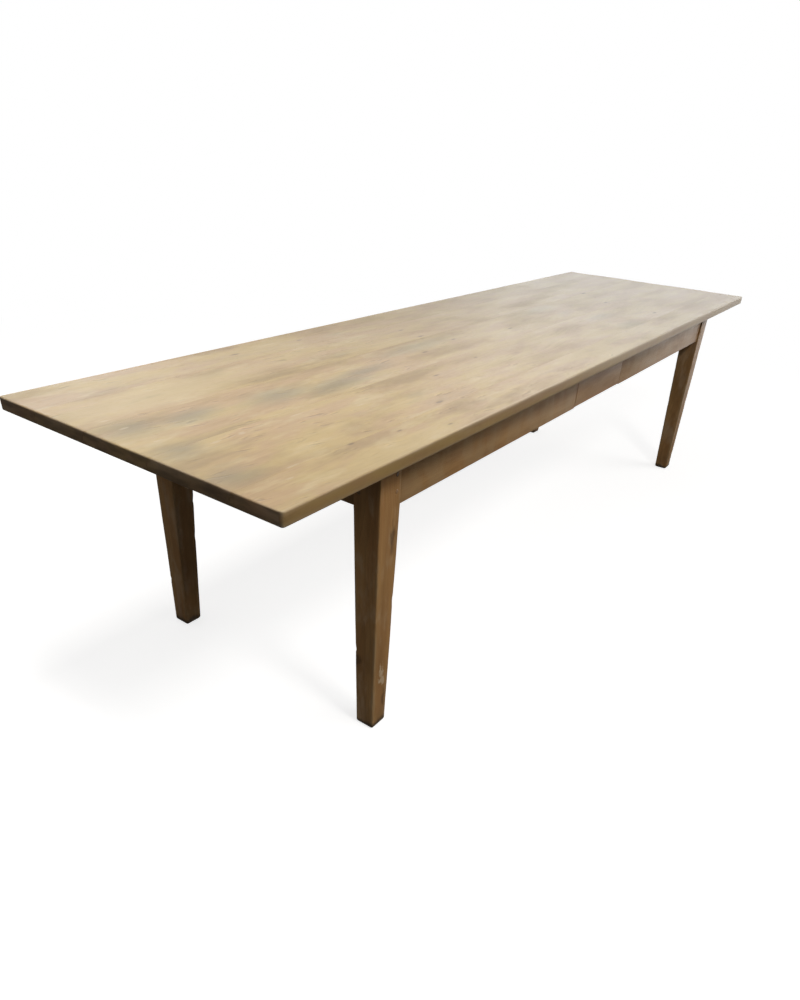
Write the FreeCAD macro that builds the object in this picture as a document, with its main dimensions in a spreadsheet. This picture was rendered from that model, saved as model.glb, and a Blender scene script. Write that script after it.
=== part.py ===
import FreeCAD, Part
import os
import Sketcher

# A long plank-topped dining table: a pegged leg-and-apron frame, a tongued top held down by
# cross bearers, and one dovetailed drawer in the front apron.
# Frame: millimetres, +X along the table, +Y towards its back, +Z up, origin on the floor under the middle.

SIZES = {
    # The whole table
    "table_length": 3040,
    "table_width": 870,
    "table_height": 760,
    "end_overhang": 335,
    "side_overhang": 51,
    # Top planks, laid lengthwise; each joint's place is a share of the width, counted from the front
    "top_thickness": 31,
    "joint_1_share": 0.135,
    "joint_2_share": 0.395,
    "joint_3_share": 0.628,
    "joint_4_share": 0.832,
    "tongue_length": 9,
    "tongue_thickness": 10,
    "tongue_play": 0.2,
    "groove_spare": 1,
    "top_edge_round": 3,
    "top_corner_round": 8,
    # Legs, plumb outside and tapered on the two inner faces
    "leg_width": 73,
    "foot_width": 52,
    "leg_arris": 2.5,
    "foot_ease": 4,
    # Aprons and their tenons
    "apron_height": 119,
    "apron_thickness": 25,
    "apron_setback": 6,
    "tenon_thickness": 9,
    "tenon_shoulder": 12,
    "tenon_wall": 4,
    "tenon_play": 0.1,
    "mortise_spare": 1,
    # Pegs through the leg heads; their heights are shares of the apron's height
    "peg_width": 11,
    "peg_edge": 15,
    "peg_reach": 12,
    "peg_proud": 0.8,
    "peg_play": 0.1,
    "lower_peg_share": 0.32,
    "upper_peg_share": 0.655,
    # Cross bearers under the top, lapped into the long aprons; their places are shares of the length
    "bearer_width": 70,
    "bearer_thickness": 26,
    "bearer_lap": 18,
    "bearer_flare": 6,
    "bearer_play": 0.2,
    "outer_bearer_share": 0.31,
    "inner_bearer_share": 0.11,
    # Drawer opening in the front apron
    "opening_width": 370,
    "strip_height": 30,
    # Drawer
    "drawer_depth": 520,
    "drawer_play": 1.5,
    "drawer_lift": 3,
    "drawer_front_thickness": 22,
    "drawer_lap": 6,
    "drawer_wall": 12,
    "drawer_side_drop": 7,
    "drawer_back_drop": 4,
    "drawer_floor": 8,
    "drawer_floor_rise": 8,
    "drawer_groove": 6,
    "drawer_fit": 0.1,
    "front_tail_share": 0.3,
    "back_tail_share": 0.32,
    "tail_slope_share": 0.16,
    # Runners, guides and stops that carry the drawer
    "runner_width": 40,
    "runner_thickness": 20,
    "runner_lift": 2,
    "runner_stub": 8,
    "runner_stub_width": 14,
    "running_gap": 0.3,
    "guide_width": 18,
    "guide_height": 34,
    "stop_length": 25,
    "stop_height": 15,
    # Wrought nails through the bearers, and small ones, called pins, in the drawer and its guides
    "nail_width": 5,
    "nail_head_width": 11,
    "nail_head_height": 2,
    "nail_bite": 17,
    "pin_width": 2.5,
    "pin_head_width": 5.5,
    "pin_head_height": 1.2,
    "pin_bite": 14,
    "nail_play": 0.1,
    "nail_tip_share": 0.4,
    "nail_crown_share": 0.45,
    # How far every cutting shape runs past the wood it cuts
    "cut_overrun": 2,
}

WORKED_OUT = {
    "leg_top": "=size.table_height - size.top_thickness",
    "apron_bottom": "=leg_top - size.apron_height",
    "leg_outer_x": "=size.table_length / 2 - size.end_overhang",
    "leg_outer_y": "=size.table_width / 2 - size.side_overhang",
    "leg_inner_x": "=leg_outer_x - size.leg_width",
    "leg_inner_y": "=leg_outer_y - size.leg_width",
    "apron_middle": "=size.apron_setback + size.apron_thickness / 2",
    "long_apron_y": "=leg_outer_y - apron_middle",
    "end_apron_x": "=leg_outer_x - apron_middle",
    "apron_outside_y": "=leg_outer_y - size.apron_setback",
    "apron_inside_y": "=apron_outside_y - size.apron_thickness",
    "tenon_length": "=size.leg_width - apron_middle - size.tenon_thickness / 2 - size.tenon_wall",
    "tenon_height": "=size.apron_height - 2 * size.tenon_shoulder",
    "tenon_base": "=apron_bottom + size.tenon_shoulder",
    "peg_length": "=size.peg_proud + apron_middle + size.tenon_thickness / 2 + size.peg_reach",
    "bearer_base": "=leg_top - size.bearer_thickness",
    "opening_height": "=size.apron_height - size.strip_height",
    "opening_half": "=size.opening_width / 2",
    "drawer_half": "=opening_half - size.drawer_play",
    "drawer_front_base": "=apron_bottom + size.drawer_lift",
    "drawer_front_height": "=opening_height - size.drawer_lift - size.drawer_play",
    "drawer_face_y": "=-apron_outside_y",
    "drawer_front_inside_y": "=drawer_face_y + size.drawer_front_thickness",
    "drawer_end_y": "=drawer_face_y + size.drawer_depth",
    "drawer_back_inside_y": "=drawer_end_y - size.drawer_wall",
    "runner_base": "=apron_bottom + size.runner_lift",
    "runner_top": "=runner_base + size.runner_thickness",
    "drawer_side_base": "=runner_top + size.running_gap",
    "drawer_side_height": "=apron_bottom + opening_height - size.drawer_side_drop - drawer_side_base",
    "drawer_floor_base": "=drawer_side_base + size.drawer_floor_rise",
    "drawer_floor_top": "=drawer_floor_base + size.drawer_floor",
    "drawer_inside": "=2 * (drawer_half - size.drawer_wall)",
    "drawer_back_height": "=drawer_side_base + drawer_side_height - size.drawer_back_drop - drawer_floor_top",
    "front_tail_length": "=size.drawer_front_thickness - size.drawer_lap",
    "front_tail_width": "=size.front_tail_share * drawer_side_height",
    "back_tail_width": "=size.back_tail_share * drawer_back_height",
    "runner_x": "=opening_half + size.guide_width - size.runner_width / 2",
    "runner_stub_x": "=opening_half + size.guide_width - size.runner_stub_width / 2",
    "guide_x": "=opening_half + size.guide_width / 2",
}

PLANK_COUNT = 5
PEG_SIDE_COUNT = 8
LEFT, RIGHT = -1, 1
FRONT, BACK = -1, 1
SIDES = {"left": LEFT, "right": RIGHT}
X_AXIS = FreeCAD.Vector(1, 0, 0)
Y_AXIS = FreeCAD.Vector(0, 1, 0)
Z_AXIS = FreeCAD.Vector(0, 0, 1)
# Each corner of the frame: towards which end, towards which side, and where its leg's own X axis points
CORNERS = {
    "front_left": (LEFT, FRONT, X_AXIS),
    "front_right": (RIGHT, FRONT, Y_AXIS),
    "back_right": (RIGHT, BACK, -X_AXIS),
    "back_left": (LEFT, BACK, -Y_AXIS),
}
PEG_HEIGHT_SHARES = ("size.lower_peg_share", "size.upper_peg_share")
BEARER_SHARES = (
    "-size.outer_bearer_share",
    "-size.inner_bearer_share",
    "size.inner_bearer_share",
    "size.outer_bearer_share",
)
TAIL_PLACE_SHARES = (0.25, 0.75)
FLOOR_NAIL_SHARES = (-0.4, 0, 0.4)
GUIDE_NAIL_SHARES = (-0.4, 0, 0.4)
# How a sketch counts its own origin and the two ends of a line
SKETCH_ORIGIN_INDEX = -1
LINE_START_INDEX = 1
LINE_END_INDEX = 2

document = FreeCAD.newDocument("refectory_table")
subparts = []


def fill_sheet(name, cells):
    """A sheet with one named cell for each entry."""
    sheet = document.addObject("Spreadsheet::Sheet", name)
    for row, (alias, content) in enumerate(cells.items(), start=1):
        sheet.set(f"A{row}", alias)
        sheet.set(f"B{row}", str(content))
        sheet.setAlias(f"B{row}", alias)
    document.recompute()
    return sheet


size_sheet = fill_sheet("size", SIZES)
place_sheet = fill_sheet("place", WORKED_OUT)


def value(expression):
    """The number that an expression of named sizes comes to."""
    return float(size_sheet.evalExpression(expression))


def bind(piece, **expressions):
    """Ties a piece's properties to expressions of named sizes."""
    for property_name, expression in expressions.items():
        piece.setExpression(property_name, expression)


def locate(piece, x, y, z):
    """Ties a piece's place to expressions of named sizes."""
    for axis, expression in zip("xyz", (x, y, z)):
        piece.setExpression(f"Placement.Base.{axis}", expression)


def subpart(piece, label):
    """Names a finished piece and lists it among those that are written out."""
    piece.Label = label
    subparts.append(piece)
    return piece


def block(name, centre, size):
    """A rectangular block: its middle in plan and its base, and its extent along X, Y and Z."""
    x, y, base = centre
    length, width, height = size
    box = document.addObject("Part::Box", name)
    bind(box, Length=length, Width=width, Height=height)
    locate(box, f"{x} - ({length}) / 2", f"{y} - ({width}) / 2", base)
    return box


def fuse(name, pieces):
    """One solid, or one group of solids, of several pieces."""
    fused = document.addObject("Part::MultiFuse", name)
    fused.Shapes = pieces
    fused.Refine = True
    return fused


def group(name, pieces):
    """Separate solids kept together."""
    gathered = document.addObject("Part::Compound", name)
    gathered.Links = pieces
    return gathered


def cut(name, base, tools):
    """A piece with the tools' shapes taken out of it."""
    taken_out = document.addObject("Part::Cut", name)
    taken_out.Base = base
    taken_out.Tool = tools[0] if len(tools) == 1 else group(f"{name}_tools", tools)
    taken_out.Refine = True
    return taken_out


def sketch_on(body, role, name):
    """A sketch on one of a body's own origin planes."""
    plane = next(feature for feature in body.Origin.OriginFeatures if feature.Role == role)
    sketch = body.newObject("Sketcher::SketchObject", name)
    sketch.AttachmentSupport = [(plane, "")]
    sketch.MapMode = "FlatFace"
    return sketch


def draw_outline(sketch, corners):
    """A closed outline of straight lines with each corner tied to a pair of expressions."""
    points = [FreeCAD.Vector(value(across), value(up), 0) for across, up in corners]
    for start, end in zip(points, points[1:] + points[:1]):
        sketch.addGeometry(Part.LineSegment(start, end))
    for line, corner in enumerate(corners):
        following = (line + 1) % len(corners)
        meeting = (line, LINE_END_INDEX, following, LINE_START_INDEX)
        sketch.addConstraint(Sketcher.Constraint("Coincident", *meeting))
        for direction, expression in zip(("DistanceX", "DistanceY"), corner):
            ends = (SKETCH_ORIGIN_INDEX, LINE_START_INDEX, line, LINE_START_INDEX)
            distance = Sketcher.Constraint(direction, *ends, value(expression))
            number = sketch.addConstraint(distance)
            sketch.setExpression(f"Constraints[{number}]", expression)


def edges_where(feature, test):
    """The names of a feature's edges that pass a test."""
    return [f"Edge{number}" for number, edge in enumerate(feature.Shape.Edges, start=1) if test(edge)]


def round_edges(body, feature, edges, radius, name):
    """A feature with some of its edges rounded."""
    rounded = body.newObject("PartDesign::Fillet", name)
    rounded.Base = (feature, edges)
    bind(rounded, Radius=radius)
    document.recompute()
    return rounded


def upright_taper(name, foot, low_width, high_width, height):
    """A square taper that stands on a point."""
    x, y, z = foot
    taper = document.addObject("Part::Wedge", name)
    bind(
        taper,
        Xmin=f"-({low_width}) / 2",
        Xmax=f"({low_width}) / 2",
        Zmin=f"-({low_width}) / 2",
        Zmax=f"({low_width}) / 2",
        X2min=f"-({high_width}) / 2",
        X2max=f"({high_width}) / 2",
        Z2min=f"-({high_width}) / 2",
        Z2max=f"({high_width}) / 2",
        Ymin="0",
        Ymax=height,
    )
    taper.Placement.Rotation = FreeCAD.Rotation(Y_AXIS, Z_AXIS)
    locate(taper, x, y, z)
    return taper


def nail_shank(name, start, kind, length, play):
    """A nail's square shank, driven up from a point; or, with play, its hole."""
    width = f"size.{kind}_width"
    return upright_taper(
        name,
        start,
        f"{width} + 2 * {play}",
        f"size.nail_tip_share * {width} + 2 * {play}",
        f"{length} + {play}",
    )


def nails(label, starts, kind, length):
    """A named group of like nails with low hammered heads; gives the holes that they sit in."""
    pieces = []
    holes = []
    head_width, head_height = f"size.{kind}_head_width", f"size.{kind}_head_height"
    for number, start in enumerate(starts):
        name = f"{label}_{number}"
        x, y, z = start
        shank = nail_shank(f"{name}_shank", start, kind, length, "0")
        crown = f"size.nail_crown_share * {head_width}"
        head = upright_taper(f"{name}_head", (x, y, f"{z} - {head_height}"), crown, head_width, head_height)
        pieces.append(fuse(name, [shank, head]))
        holes.append(nail_shank(f"{name}_hole", start, kind, length, "size.nail_play"))
    subpart(group(label, pieces), label)
    return holes


def joint_line(joint):
    """How far back a joint between planks lies; the first and the last are the top's own edges."""
    if joint == 0:
        return "-size.table_width / 2"
    if joint == PLANK_COUNT:
        return "size.table_width / 2"
    return f"(size.joint_{joint}_share - 0.5) * size.table_width"


def plank_outline(number):
    """A plank's cross-section: a groove in its front edge and a tongue on its back edge, at the joints."""
    front, back = joint_line(number - 1), joint_line(number)
    low, high = "place.leg_top", "size.table_height"
    middle = "(place.leg_top + size.table_height) / 2"
    tongue_half = "size.tongue_thickness / 2"
    groove_half = f"({tongue_half} + size.tongue_play)"
    tongue_tip = f"{back} + size.tongue_length"
    groove_floor = f"{front} + size.tongue_length + size.groove_spare"
    corners = [(front, low), (back, low)]
    if number < PLANK_COUNT:
        corners += [
            (back, f"{middle} - {tongue_half}"),
            (tongue_tip, f"{middle} - {tongue_half}"),
            (tongue_tip, f"{middle} + {tongue_half}"),
            (back, f"{middle} + {tongue_half}"),
        ]
    corners += [(back, high), (front, high)]
    if number > 1:
        corners += [
            (front, f"{middle} + {groove_half}"),
            (groove_floor, f"{middle} + {groove_half}"),
            (groove_floor, f"{middle} - {groove_half}"),
            (front, f"{middle} - {groove_half}"),
        ]
    return corners


def make_plank(number, nail_holes):
    """One plank of the top, with eased outer edges and the bearer nails' holes in its underside."""
    name = f"top_plank_{number}"
    body = document.addObject("PartDesign::Body", f"{name}_body")
    sketch = sketch_on(body, "YZ_Plane", f"{name}_outline")
    draw_outline(sketch, plank_outline(number))
    feature = body.newObject("PartDesign::Pad", f"{name}_board")
    feature.Profile = sketch
    feature.SideType = "Symmetric"
    bind(feature, Length="size.table_length")
    document.recompute()

    end, side = value("size.table_length / 2"), value("size.table_width / 2")
    faces = (value("place.leg_top"), value("size.table_height"))
    near = value("size.tongue_play")

    def same(one, other):
        return abs(one - other) < near

    def on_rim(point):
        return same(abs(point.x), end) or same(abs(point.y), side)

    def is_corner(edge):
        ends = [vertex.Point for vertex in edge.Vertexes]
        return all(same(abs(point.x), end) and same(abs(point.y), side) for point in ends)

    def is_rim(edge):
        middle = edge.valueAt((edge.FirstParameter + edge.LastParameter) / 2)
        ends = [vertex.Point for vertex in edge.Vertexes]
        flat = any(all(same(point.z, face) for point in ends + [middle]) for face in faces)
        rounded = not isinstance(edge.Curve, Part.Line)
        return flat and (rounded or on_rim(middle))

    corners = edges_where(feature, is_corner)
    if corners:
        feature = round_edges(body, feature, corners, "size.top_corner_round", f"{name}_corners")
    round_edges(body, feature, edges_where(feature, is_rim), "size.top_edge_round", f"{name}_rim")
    subpart(cut(name, body, nail_holes), name)


def make_leg(corner, tools):
    """One leg, made with its outer corner upright at its own origin and turned to its place."""
    towards_end, towards_side, facing = CORNERS[corner]
    name = f"leg_{corner}"
    body = document.addObject("PartDesign::Body", f"{name}_body")

    def section(title, low, high, height):
        sketch = sketch_on(body, "XY_Plane", f"{name}_{title}")
        sketch.setExpression("AttachmentOffset.Base.z", height)
        eased_low, eased_high = f"{low} + size.leg_arris", f"{high} - size.leg_arris"
        draw_outline(sketch, [
            (eased_low, low),
            (eased_high, low),
            (high, eased_low),
            (high, eased_high),
            (eased_high, high),
            (eased_low, high),
            (low, eased_high),
            (low, eased_low),
        ])
        return sketch

    head = body.newObject("PartDesign::Pad", f"{name}_head")
    head.Profile = section("head_outline", "0", "size.leg_width", "place.apron_bottom")
    bind(head, Length="size.apron_height")
    knee = section("knee_outline", "0", "size.leg_width", "place.apron_bottom")
    foot = section("foot_outline", "0", "size.foot_width", "size.foot_ease")
    toe = section("toe_outline", "size.foot_ease", "size.foot_width - size.foot_ease", "0")
    shaft = body.newObject("PartDesign::AdditiveLoft", f"{name}_shaft")
    shaft.Profile = knee
    shaft.Sections = [foot, toe]
    shaft.Ruled = True
    body.Placement.Rotation = FreeCAD.Rotation(facing, Z_AXIS.cross(facing), Z_AXIS, "ZXY")
    locate(body, f"{towards_end} * place.leg_outer_x", f"{towards_side} * place.leg_outer_y", "0")
    subpart(cut(name, body, tools), name)


def long_tenon(name, corner, play, spare):
    """A long apron's tenon in one leg; or, with play and spare depth, its mortise."""
    towards_end, towards_side, _ = CORNERS[corner]
    length = f"place.tenon_length + {spare}"
    return block(
        name,
        (
            f"{towards_end} * (place.leg_inner_x + ({length}) / 2)",
            f"{towards_side} * place.long_apron_y",
            f"place.tenon_base - {play}",
        ),
        (length, f"size.tenon_thickness + 2 * {play}", f"place.tenon_height + 2 * {play}"),
    )


def end_tenon(name, corner, play, spare):
    """An end apron's tenon in one leg; or, with play and spare depth, its mortise."""
    towards_end, towards_side, _ = CORNERS[corner]
    length = f"place.tenon_length + {spare}"
    return block(
        name,
        (
            f"{towards_end} * place.end_apron_x",
            f"{towards_side} * (place.leg_inner_y + ({length}) / 2)",
            f"place.tenon_base - {play}",
        ),
        (f"size.tenon_thickness + 2 * {play}", length, f"place.tenon_height + 2 * {play}"),
    )


def peg(name, corner, share, through_long_apron, play):
    """A riven, many-sided peg driven in from a leg's outer face; or, with play, its hole."""
    towards_end, towards_side, _ = CORNERS[corner]
    rod = document.addObject("Part::Prism", name)
    rod.Polygon = PEG_SIDE_COUNT
    bind(rod, Circumradius=f"size.peg_width / 2 + {play}", Height=f"place.peg_length + {play}")
    height = f"place.apron_bottom + {share} * size.apron_height"
    if through_long_apron:
        rod.Placement.Rotation = FreeCAD.Rotation(Z_AXIS, Y_AXIS * -towards_side)
        x = f"{towards_end} * (place.leg_inner_x + size.peg_edge)"
        y = f"{towards_side} * (place.leg_outer_y + size.peg_proud)"
    else:
        rod.Placement.Rotation = FreeCAD.Rotation(Z_AXIS, X_AXIS * -towards_end)
        x = f"{towards_end} * (place.leg_outer_x + size.peg_proud)"
        y = f"{towards_side} * (place.leg_inner_y + size.peg_edge)"
    locate(rod, x, y, height)
    return rod


def pegs(prefix, corner, through_long_apron, play):
    """The two pegs of one joint, or their holes."""
    return [
        peg(f"{prefix}_{corner}_{level}", corner, share, through_long_apron, play)
        for level, share in enumerate(PEG_HEIGHT_SHARES)
    ]


def flared(name, centre, size, flare, wide_end):
    """A dovetail: a block along Y that flares across X or Z towards its wide end."""
    x, y, base = centre
    width, length, height = size
    flare_x, flare_z = flare
    tail = document.addObject("Part::Wedge", name)
    grow_near, grow_far = (1, 0) if wide_end < 0 else (0, 1)
    bind(
        tail,
        Xmin=f"-({width}) / 2 - {grow_near} * {flare_x}",
        Xmax=f"({width}) / 2 + {grow_near} * {flare_x}",
        X2min=f"-({width}) / 2 - {grow_far} * {flare_x}",
        X2max=f"({width}) / 2 + {grow_far} * {flare_x}",
        Ymin=f"-({length}) / 2",
        Ymax=f"({length}) / 2",
        Zmin=f"-{grow_near} * {flare_z}",
        Zmax=f"{height} + {grow_near} * {flare_z}",
        Z2min=f"-{grow_far} * {flare_z}",
        Z2max=f"{height} + {grow_far} * {flare_z}",
    )
    locate(tail, x, y, base)
    return tail


def bearer_tail(name, share, side, play):
    """A bearer's dovetailed lap in a long apron's top edge; or, with play, its socket."""
    length = f"size.bearer_lap + {play}"
    return flared(
        name,
        (
            f"{share} * size.table_length",
            f"{side} * (place.apron_inside_y + ({length}) / 2)",
            f"place.bearer_base - {play}",
        ),
        (
            f"size.bearer_width - 2 * size.bearer_flare + 2 * {play}",
            length,
            f"size.bearer_thickness + 2 * {play}",
        ),
        ("size.bearer_flare", "0"),
        side,
    )


def make_bearers():
    """The cross bearers and their nails; gives the nails' holes."""
    starts = []
    for share in BEARER_SHARES:
        for number in range(1, PLANK_COUNT + 1):
            plank_middle = f"({joint_line(number - 1)} + {joint_line(number)}) / 2"
            starts.append((f"{share} * size.table_length", plank_middle, "place.bearer_base"))
    # The planks at the edges reach past the aprons, so their nails stand just inside the aprons.
    inside = "(place.apron_inside_y - size.nail_head_width)"
    for index, (x, y, z) in enumerate(starts):
        if abs(value(y)) > value(inside):
            side = FRONT if value(y) < 0 else BACK
            starts[index] = (x, f"{side} * {inside}", z)
    nail_holes = nails("bearer_nails", starts, "nail", "size.bearer_thickness + size.nail_bite")
    for number, share in enumerate(BEARER_SHARES, start=1):
        name = f"bearer_{number}"
        span = block(
            f"{name}_span",
            (f"{share} * size.table_length", "0", "place.bearer_base"),
            ("size.bearer_width", "2 * place.apron_inside_y", "size.bearer_thickness"),
        )
        tails = [bearer_tail(f"{name}_tail_{side}", share, side, "0") for side in (FRONT, BACK)]
        whole = fuse(f"{name}_whole", [span] + tails)
        first = (number - 1) * PLANK_COUNT
        subpart(cut(name, whole, nail_holes[first:first + PLANK_COUNT]), name)
    return nail_holes


def make_long_apron(label, side, extra_cuts):
    """A long apron with its tenons, the bearers' sockets, the runners' housings and the peg holes."""
    corners = [corner for corner in CORNERS if CORNERS[corner][1] == side]
    board = block(
        f"{label}_board",
        ("0", f"{side} * place.long_apron_y", "place.apron_bottom"),
        ("2 * place.leg_inner_x", "size.apron_thickness", "size.apron_height"),
    )
    tenons = [long_tenon(f"{label}_tenon_{corner}", corner, "0", "0") for corner in corners]
    tools = list(extra_cuts)
    for number, share in enumerate(BEARER_SHARES, start=1):
        tools.append(bearer_tail(f"{label}_socket_{number}", share, side, "size.bearer_play"))
    for hand, towards_end in SIDES.items():
        tools.append(runner_stub(f"{label}_housing_{hand}", towards_end, side, "size.tenon_play"))
    for corner in corners:
        tools += pegs(f"{label}_peg_hole", corner, True, "size.peg_play")
    subpart(cut(label, fuse(f"{label}_whole", [board] + tenons), tools), label)


def make_end_apron(hand):
    """An end apron with its tenons and peg holes."""
    label = f"end_apron_{hand}"
    towards_end = SIDES[hand]
    corners = [corner for corner in CORNERS if CORNERS[corner][0] == towards_end]
    board = block(
        f"{label}_board",
        (f"{towards_end} * place.end_apron_x", "0", "place.apron_bottom"),
        ("size.apron_thickness", "2 * place.leg_inner_y", "size.apron_height"),
    )
    tenons = [end_tenon(f"{label}_tenon_{corner}", corner, "0", "0") for corner in corners]
    holes = []
    for corner in corners:
        holes += pegs(f"{label}_peg_hole", corner, False, "size.peg_play")
    subpart(cut(label, fuse(f"{label}_whole", [board] + tenons), holes), label)


def make_frame():
    """Legs, aprons and the pegs that lock them."""
    for corner in CORNERS:
        tools = [
            long_tenon(f"long_mortise_{corner}", corner, "size.tenon_play", "size.mortise_spare"),
            end_tenon(f"end_mortise_{corner}", corner, "size.tenon_play", "size.mortise_spare"),
        ]
        tools += pegs("long_leg_hole", corner, True, "size.peg_play")
        tools += pegs("end_leg_hole", corner, False, "size.peg_play")
        make_leg(corner, tools)
    opening = block(
        "drawer_opening",
        ("0", f"{FRONT} * place.long_apron_y", "place.apron_bottom - size.cut_overrun"),
        (
            "size.opening_width",
            "size.apron_thickness + 2 * size.cut_overrun",
            "place.opening_height + size.cut_overrun",
        ),
    )
    make_long_apron("front_apron", FRONT, [opening])
    make_long_apron("back_apron", BACK, [])
    for hand in SIDES:
        make_end_apron(hand)
    for label, through_long_apron in (("long_apron_pegs", True), ("end_apron_pegs", False)):
        driven = []
        for corner in CORNERS:
            driven += pegs(label, corner, through_long_apron, "0")
        subpart(group(label, driven), label)


def runner_stub(name, towards_end, side, play):
    """The stub on a runner's end that is housed in a long apron; or, with play, its housing."""
    length = f"size.runner_stub + {play}"
    return block(
        name,
        (
            f"{towards_end} * place.runner_stub_x",
            f"{side} * (place.apron_inside_y + ({length}) / 2)",
            f"place.runner_base - {play}",
        ),
        (f"size.runner_stub_width + 2 * {play}", length, f"size.runner_thickness + 2 * {play}"),
    )


def make_runners():
    """Runners under the drawer's sides, guides beside them and stops behind them."""
    starts = []
    for towards_end in SIDES.values():
        for share in GUIDE_NAIL_SHARES:
            along = f"{share} * 2 * place.apron_inside_y"
            starts.append((f"{towards_end} * place.guide_x", along, "place.runner_base"))
    nail_holes = nails("guide_nails", starts, "pin", "size.runner_thickness + size.pin_bite")
    stops = []
    for order, (hand, towards_end) in enumerate(SIDES.items()):
        first = order * len(GUIDE_NAIL_SHARES)
        holes = nail_holes[first:first + len(GUIDE_NAIL_SHARES)]
        runner = f"drawer_runner_{hand}"
        rail = block(
            f"{runner}_rail",
            (f"{towards_end} * place.runner_x", "0", "place.runner_base"),
            ("size.runner_width", "2 * place.apron_inside_y", "size.runner_thickness"),
        )
        stubs = [runner_stub(f"{runner}_stub_{side}", towards_end, side, "0") for side in (FRONT, BACK)]
        subpart(cut(runner, fuse(f"{runner}_whole", [rail] + stubs), holes), runner)
        guide = f"drawer_guide_{hand}"
        strip = block(
            f"{guide}_strip",
            (f"{towards_end} * place.guide_x", "0", "place.runner_top"),
            ("size.guide_width", "2 * place.apron_inside_y", "size.guide_height"),
        )
        subpart(cut(guide, strip, holes), guide)
        stops.append(block(
            f"drawer_stop_{hand}",
            (
                f"{towards_end} * (place.drawer_half - size.drawer_wall / 2)",
                "place.drawer_end_y + size.running_gap + size.stop_length / 2",
                "place.runner_top",
            ),
            ("size.drawer_wall", "size.stop_length", "size.stop_height"),
        ))
    subpart(group("drawer_stops", stops), "drawer_stops")


def drawer_tails(prefix, towards_end, end, play):
    """The two dovetails at a drawer side's front or back end; or, with play, their sockets."""
    if end == FRONT:
        length, width = "place.front_tail_length", "place.front_tail_width"
        base, reach = "place.drawer_side_base", "place.drawer_side_height"
        root = "place.drawer_front_inside_y"
    else:
        length, width = "size.drawer_wall", "place.back_tail_width"
        base, reach = "place.drawer_floor_top", "place.drawer_back_height"
        root = "place.drawer_back_inside_y"
    overrun = "0" if play == "0" else "size.cut_overrun"
    thickness = f"size.drawer_wall + {play} + {overrun}"
    slope = f"size.tail_slope_share * {length}"
    narrow = f"{width} - 2 * {slope}"
    return [
        flared(
            f"{prefix}_{index}",
            (
                f"{towards_end} * (place.drawer_half + {overrun} - ({thickness}) / 2)",
                f"{root} + {end} * ({length} + {play}) / 2",
                f"{base} + {share} * {reach} - ({narrow}) / 2 - {play}",
            ),
            (thickness, f"{length} + {play}", f"{narrow} + 2 * {play}"),
            ("0", slope),
            end,
        )
        for index, share in enumerate(TAIL_PLACE_SHARES)
    ]


def floor_groove(name, centre, size):
    """A groove for the drawer's floor, from the middle and the extent of its run in plan."""
    x, y = centre
    length, width = size
    return block(
        name,
        (x, y, "place.drawer_floor_base - size.drawer_fit"),
        (length, width, "size.drawer_floor + 2 * size.drawer_fit"),
    )


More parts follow.
